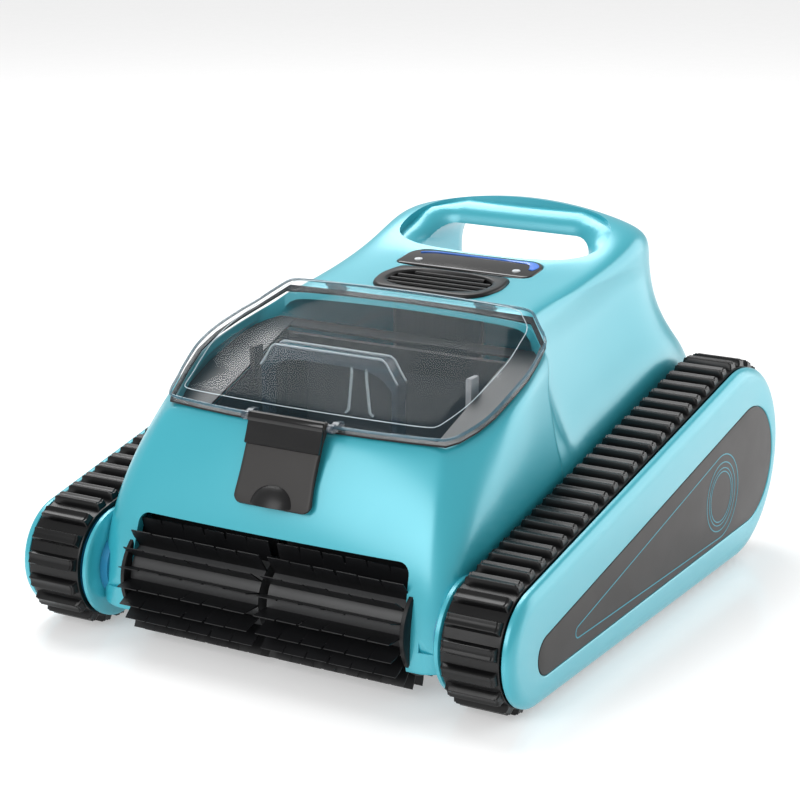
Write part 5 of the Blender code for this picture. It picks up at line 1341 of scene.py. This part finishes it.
# ---- Deck ----------------------------------------------------------------------------------------
@dataclass
class Deck:
    """The outlet grille, the control panel, its light arc and its two buttons."""

    vent_half: float = 0.0375
    vent_reach: float = 0.0205

    def ride_deck(self, piece: bpy.types.Object, rise: float) -> bpy.types.Object:
        """Lifts a flat piece's points so that height 0 lies on the sloping deck plus a rise."""
        points = read_points(piece.data)
        points[:, 2] += deck_z(points[:, 1]) + rise
        write_points(piece.data, points)
        return piece

    def grille(self) -> list[bpy.types.Object]:
        """The grille: a bevelled rim, a sunk floor, and slats that lean back."""
        outer = grille_loop(0.0)
        loops = [place(outer, "Z", -0.0060), *rolled_edge(outer, 0.0022, 0.0030)]
        centre = np.array((0.0, (GRILLE_Y[0] + GRILLE_Y[1]) / 2 + 0.0005))
        count = len(outer)
        turn = np.arctan2(outer[:, 1] - centre[1], outer[:, 0] - centre[0])
        oval = centre + np.stack((self.vent_half * np.sign(np.cos(turn)) * np.abs(np.cos(turn)) ** 0.75,
                                  self.vent_reach * np.sign(np.sin(turn)) * np.abs(np.sin(turn)) ** 0.75), 1)
        for grow, height in ((0.0015, 0.0030), (0.0008, 0.0027), (0.0, 0.0016), (-0.0002, -0.0030)):
            loops.append(place(centre + (oval - centre) * (1 + grow / 0.03), "Z", height))
        points = np.concatenate(loops)
        faces = strip_faces(len(loops), count, round_columns=True).tolist()
        faces += [list(range(count)), [(len(loops) - 1) * count + j for j in range(count)]]
        rim = self.ride_deck(put_mesh("grille_rim", points, faces, 30.0), 0.0)
        settle(rim, BLACK, HOUSING, "outlet_grille", slot="charcoal_plastic")
        made = [rim]
        for k in range(5):
            y = GRILLE_Y[0] + 0.0085 + 0.0084 * k
            across = (y - centre[1]) / self.vent_reach
            half = self.vent_half * max(0.2, 1 - abs(across) ** 2.667) ** 0.375 - 0.0006
            section = np.array([(y - 0.0026, -0.0028), (y - 0.0030, 0.0008), (y - 0.0022, 0.0018),
                                (y - 0.0008, 0.0020), (y + 0.0012, 0.0010), (y + 0.0018, -0.0004),
                                (y + 0.0008, -0.0026)])
            slat = prism(f"grille_slat_{k + 1}", section, "X", np.linspace(-half, half, 12))
            made.append(settle(self.ride_deck(slat, 0.0), BLACK, HOUSING, slot="charcoal_plastic"))
        return made

    def panel(self) -> list[bpy.types.Object]:
        """The panel with its rolled edge, a pale blue painted highlight line before it, the light arc and the buttons.
        """
        loop = panel_loop(0.0)
        plate = [place(loop, "Z", -0.0060), *rolled_edge(loop, 0.0016, 0.0024)]
        panel = self.ride_deck(stack("panel_plate", plate, 30.0), 0.0)
        settle(panel, GLOSS, HOUSING, "control_panel", slot="gloss_black")
        corner = np.array((PANEL_HALF - 0.0150, PANEL_Y[1] - 0.0150))
        turn = np.linspace(math.pi / 2, -0.35, 40)
        bend = corner + 0.0092 * np.stack((np.cos(turn), np.sin(turn)), 1)
        line = np.stack((np.linspace(-0.0440, corner[0], 50), np.full(50, corner[1] + 0.0092)), 1)
        line[:, 1] -= 0.0040 * np.clip((-0.030 - line[:, 0]) / 0.014, 0, 1) ** 2
        path = np.concatenate((line, bend[1:]))
        width = np.interp(np.linspace(0, 1, len(path)), (0, 0.45, 0.62, 0.85, 1),
                          (0.0004, 0.0008, 0.0024, 0.0034, 0.0018))
        along = np.gradient(path, axis=0)
        along /= np.linalg.norm(along, axis=1, keepdims=True)
        across = np.stack((-along[:, 1], along[:, 0]), 1)
        rings = [path + across * width[:, None] * k for k in (1, 1, 0.6, -0.6, -1, -1)]
        heights = (-0.0002, 0.0003, 0.0006, 0.0006, 0.0003, -0.0002)
        grid = np.stack([place(r, "Z", h) for r, h in zip(rings, heights)], 1)
        arc = put_mesh("light_arc", grid.reshape(-1, 3), tube_faces(len(path), 6), 40.0)
        self.ride_deck(arc, 0.0024)
        settle(arc, BLUE_LIGHT, HOUSING, "status_light", slot="blue_light")
        # A pale blue painted highlight line along the gap between the grille and the panel.
        edge = np.stack((np.linspace(-0.0475, 0.0475, 40), np.full(40, GRILLE_Y[1] + 0.0026)), 1)
        rings = [edge + (0, k) for k in (-0.0010, -0.0008, 0.0008, 0.0010)]
        grid = np.stack([place(r, "Z", h) for r, h in zip(rings, (-0.0006, 0.0006, 0.0006, -0.0006))], 1)
        pale = self.ride_deck(put_mesh("pale_line", grid.reshape(-1, 3), tube_faces(40, 4), 40.0), 0.0)
        settle(pale, PAINTED_HIGHLIGHT_BLUE, HOUSING)
        made = [panel, arc, pale]
        for word, x in (("power", 0.0384), ("mode", -0.0384)):
            y = PANEL_Y[0] + 0.0095
            top = float(deck_z(y)) + 0.0031
            profile = np.array([(top - 0.0065, 0.0), (top - 0.0065, 0.0029), (top - 0.0004, 0.0029),
                                (top, 0.0025), (top - 0.0001, 0.0012), (top - 0.0002, 0.0)])
            button = turned(f"{word}_cap", profile, "Z", (x, y), 40)
            node = f"{word}_button"
            made.append(settle(button, WHITE, node, node, slot="button_white"))
        return made

    def build(self) -> list[bpy.types.Object]:
        """Builds everything on the deck."""
        return self.grille() + self.panel()


# ---- Debris basket -------------------------------------------------------------------------------
@dataclass
class Basket:
    """What shows through the lid: the basket's grip, its trays, its front strip and tabs."""

    grip_low: float = -0.0740
    grip_high: float = 0.0300
    grip_top: float = 0.1768
    grip_y: tuple = (-0.0803, -0.0685)
    strip_y: tuple = (-0.1480, -0.1345)
    tray_z: float = 0.1140

    def ribs(self) -> bpy.types.Object:
        """A ribbed strip along the basket's front edge: flat bars side by side."""
        points, faces, base = [], [], 0
        section = rounded_loop(0.0016, 0.1290, 0.1362, (0.0008, 0.0008), 4)
        for x in np.linspace(-0.0780, 0.0780, 27):
            bar = [place(section + (x, 0.0), "Y", y) for y in (-0.1368, -0.1350)]
            points += bar
            faces += [[i + base for i in face] for face in tube_faces(2, len(section))]
            base += 2 * len(section)
        return put_mesh("basket_ribs", np.concatenate(points), faces, 40.0)

    def hoop(self, grow: float) -> Array:
        """The grip's outline in X and Z: two legs and a bar, cut-off corners and an arched underside.

        Args:
            grow: how far outside the outline.
        """
        low, high = self.grip_low - grow, self.grip_high + grow
        top, wall = self.grip_top + grow, 0.0046 + 2 * grow
        outer = [(low, 0.0660), (low, top - 0.0150), (low + 0.0020, top - 0.0125),
                 (low + 0.0085, top - 0.0020), (low + 0.0115, top), (high - 0.0115, top), (high - 0.0085, top - 0.0020),
                 (high - 0.0020, top - 0.0125), (high, top - 0.0150), (high, 0.0660)]
        across = np.linspace(1, -1, 21)
        middle, half = (low + high) / 2, (high - low) / 2 - wall
        arch = [(middle + half * c, top - wall - 0.0035 - 0.0120 * abs(c) ** 5) for c in across]
        inner = [(high - wall, 0.0660), *arch, (low + wall, 0.0660)]
        return np.array(outer + inner)

    def grip(self) -> list[bpy.types.Object]:
        """The clear grip with pale painted highlight lines along its top edges, and the two clear struts under its bar,
        drawn pale as painted highlights.
        """
        near, far = self.grip_y
        loops = [place(self.hoop(g), "Y", y) for g, y in
                 ((-0.0006, near), (0.0, near + 0.0006), (0.0, far - 0.0006), (-0.0006, far))]
        made = [settle(stack("basket_grip", loops, 25.0), SMOKE, HOUSING, "basket_handle",
                       slot="clear_plastic")]
        top = self.hoop(0.0003)[1:9]
        # Pale rods along the grip's top edges: painted highlight lines on the clear plastic.
        for word, y in (("front", near + 0.0004), ("rear", far - 0.0004)):
            path = np.stack((top[:, 0], np.full(len(top), y), top[:, 1]), 1)
            edge = self.wire(f"grip_edge_{word}", path, 0.0007)
            made.append(settle(edge, HIGHLIGHT_CLEAR, HOUSING, slot="clear_plastic"))
        # The struts take the same pale finish: painted highlights on clear plastic.
        for k, x in enumerate((-0.0060, 0.0080)):
            foot = np.array([(x - 0.0035, -0.0790, 0.1380), (x - 0.0010, -0.0790, 0.1400),
                             (x + 0.0015, -0.0790, 0.1640), (x + 0.0015, -0.0790, 0.1690)])
            if k:
                foot[:, 0] = 2 * x - foot[:, 0]
            strut = self.wire(f"grip_strut_{k + 1}", foot, 0.0010)
            made.append(settle(strut, HIGHLIGHT_CLEAR, HOUSING, slot="clear_plastic"))
        return made

    def wire(self, name: str, path: Array, radius: float) -> bpy.types.Object:
        """A fine round rod along a path.

        Args:
            name: object name.
            path: n by 3 points.
            radius: half its thickness.
        """
        ahead = np.gradient(path, axis=0)
        ahead /= np.linalg.norm(ahead, axis=1, keepdims=True)
        side = np.cross(ahead, (0.0, 1.0, 0.0))
        side /= np.linalg.norm(side, axis=1, keepdims=True)
        up = np.cross(side, ahead)
        turn = np.linspace(0, 2 * math.pi, 8, endpoint=False)[:, None, None]
        grid = (path + radius * (np.cos(turn) * side + np.sin(turn) * up)).transpose(1, 0, 2)
        return put_mesh(name, grid.reshape(-1, 3), tube_faces(len(path), 8), 60.0)

    def flat(self, name: str, loop: list, finish: Finish, low: float, high: float) -> bpy.types.Object:
        """A flat plate with a plan outline between two heights."""
        return settle(prism(name, np.array(loop), "Z", (low, high), 30.0), finish, HOUSING)

    def slope(self, name: str, edge: list) -> bpy.types.Object:
        """A dark flange plate that follows the basket's sloping rim.

        Args:
            name: object name.
            edge: its plan outline.
        """
        loop = np.array(edge)
        height = 0.1385 + 0.346 * (loop[:, 1] + 0.1346)
        plate = stack(name, [place(loop, "Z", height), place(loop, "Z", height + 0.0016)], 30.0)
        return settle(plate, BLACK, HOUSING, slot="charcoal_plastic")

    def build(self) -> list[bpy.types.Object]:
        """Builds the trim that shows through the lid."""
        made = [settle(self.ribs(), CHARCOAL, HOUSING, slot="charcoal_plastic"), *self.grip()]
        near, far = self.strip_y
        strip = [(-0.0860, near + 0.0020), (0.0860, near + 0.0020), (0.0940, far), (-0.0940, far)]
        made.append(self.flat("front_strip", strip, CHARCOAL, 0.1462, 0.1474))
        z = self.tray_z
        made.append(self.flat("screen_tray", [(-0.0825, -0.1080), (-0.0500, -0.1080), (-0.0300, -0.0830),
                                              (-0.0500, -0.0400), (-0.0825, -0.0400)], SCREEN, z, z + 0.0010))
        made.append(self.flat("window_tray", [(-0.0460, -0.1080), (0.0100, -0.1080), (0.0100, -0.0830),
                                              (-0.0260, -0.0830)], DEEP_BLUE, z, z + 0.0010))
        for word, sign in (("left", -1), ("right", 1)):
            edge = [(0.0845, -0.1335), (0.1060, -0.1335), (0.1130, -0.1100), (0.1150, -0.0800),
                    (0.1120, -0.0450), (0.1050, -0.0205), (0.0845, -0.0205)]
            made.append(self.slope(f"basket_flange_{word}", [(sign * x, y) for x, y in edge][::sign]))
        rear = [(-0.0840, -0.0290), (0.0840, -0.0290), (0.0840, -0.0205), (-0.0840, -0.0205)]
        made.append(self.slope("basket_flange_rear", rear))
        for word, x, finish in (("left", -0.0835, CHARCOAL), ("right", 0.0795, SCREEN)):
            outline = rounded_loop(0.0020, 0.1420, 0.1720, (0.0012, 0.0012), 3) + (x, 0.0)
            tab = prism(f"basket_tab_{word}", outline, "Y", (-0.0760, -0.0660))
            made.append(settle(tab, finish, HOUSING))
        return made


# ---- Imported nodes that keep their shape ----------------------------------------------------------
@dataclass
class Works:
    """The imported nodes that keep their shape: the drive train, the pump, the inside and the fasteners."""

    finishes: tuple = (
        (TURQUOISE, ("axle_bracket_left", "axle_bracket_right")),
        (BLACK, ("base_chassis", "brush_center_bearing", "brush_coupler_left", "brush_coupler_right",
                 "charging_socket", "filter_basket", "idler_roller_left", "idler_roller_right",
                 "inlet_duct", "pump_duct", "rear_pulley_left", "rear_pulley_right",
                 "track_frame_left", "track_frame_right")),
        (DEEP_BLUE, ("front_pulley_left", "front_pulley_right")),
        (RUBBER, ("charging_cap", "inlet_flap", "lid_seal")),
        (CHARCOAL, ("propeller",)),
        (MESH_GREY, ("filter_mesh",)),
        (FOAM, ("float_block_left", "float_block_right")),
        (BATTERY, ("battery_pack",)),
        (BOARD, ("control_board",)),
        (ACETAL, ("drive_pinion_left", "drive_pinion_right")),
        (STEEL, ("chassis_screw_1", "chassis_screw_2", "chassis_screw_3", "chassis_screw_4",
                 "drive_motor_left", "drive_motor_right", "front_axle", "idler_pin_left", "idler_pin_right", "latch_pin",
                 "lid_hinge_pin", "pump_motor", "rear_axle_left", "rear_axle_right")),
    )

    def dress(self, nodes: dict) -> None:
        """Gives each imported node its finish.

        Args:
            nodes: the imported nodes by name.
        """
        for finish, names in self.finishes:
            for name in names:
                finish.dress(nodes[name])
                LOG.info("%s: %s", name, finish.name)


# ---- Stage ---------------------------------------------------------------------------------------
@dataclass
class Studio:
    """A pale floor, soft lights and the camera."""

    aim: tuple = (-0.0217, 0.0122, 0.1222)
    eye: tuple = (0.7635, -1.3350, 0.5633)
    lens: float = 106.37

    def floor(self) -> None:
        """A wide flat floor, a grid of squares at height 0."""
        x, y = np.meshgrid(np.linspace(-30, 30, 13), np.linspace(-30, 30, 13), indexing="ij")
        grid = np.stack((x, y, 0 * x), -1)
        sheet = put_mesh("studio_floor", grid.reshape(-1, 3), strip_faces(13, 13).tolist())
        FLOOR.dress(sheet)
        shader = FLOOR.material().node_tree.nodes["Principled BSDF"]
        shader.inputs["Emission Color"].default_value = (1, 1, 1, 1)

    def light(self, name: str, place_at: tuple, size: float, power: float) -> None:
        """A square soft light that faces the machine."""
        lamp = bpy.data.lights.new(name, "AREA")
        lamp.shape = "SQUARE"
        lamp.size = size
        lamp.energy = power
        self.hold(name, lamp, place_at, (0, 0, 0.1))

    def hold(self, name: str, data: bpy.types.ID, place_at: tuple, aim: tuple) -> bpy.types.Object:
        """Puts a light or a camera somewhere, turned towards a point."""
        holder = bpy.data.objects.new(name, data)
        holder.location = place_at
        holder.rotation_euler = (Vector(aim) - Vector(place_at)).to_track_quat("-Z", "Y").to_euler()
        bpy.context.scene.collection.objects.link(holder)
        return holder

    def build(self) -> None:
        """Builds the floor, world, lights and camera."""
        self.floor()
        world = bpy.data.worlds.new("studio")
        world.use_nodes = True
        sky = world.node_tree.nodes["Background"]
        sky.inputs["Color"].default_value = (1, 1, 1, 1)
        sky.inputs["Strength"].default_value = 0.52
        bpy.context.scene.world = world
        self.light("key", (-1.0, 0.75, 1.9), 1.5, 38)
        self.light("flank", (1.5, 1.8, 0.8), 1.7, 22)
        self.light("front", (-0.6, -2.5, 1.5), 1.5, 30)
        eye = bpy.data.cameras.new("camera")
        eye.lens = self.lens
        eye.sensor_width = 36.0
        eye.clip_start = 0.01
        bpy.context.scene.camera = self.hold("camera", eye, self.eye, self.aim)
        bpy.context.scene.view_settings.view_transform = "Standard"


def main() -> None:
    """Builds every sub-assembly in order."""
    logging.basicConfig(level=logging.INFO, format="%(message)s")
    for leftover in list(bpy.data.objects):
        bpy.data.objects.remove(leftover, do_unlink=True)
    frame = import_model()
    Works().dress(frame["nodes"])
    UpperShell().build()
    Lid().build()
    Latch().build()
    for side in Side:
        Track(side).build()
        Brush(side).build()
    Deck().build()
    Basket().build()
    Studio().build()


if __name__ == "__main__":
    main()
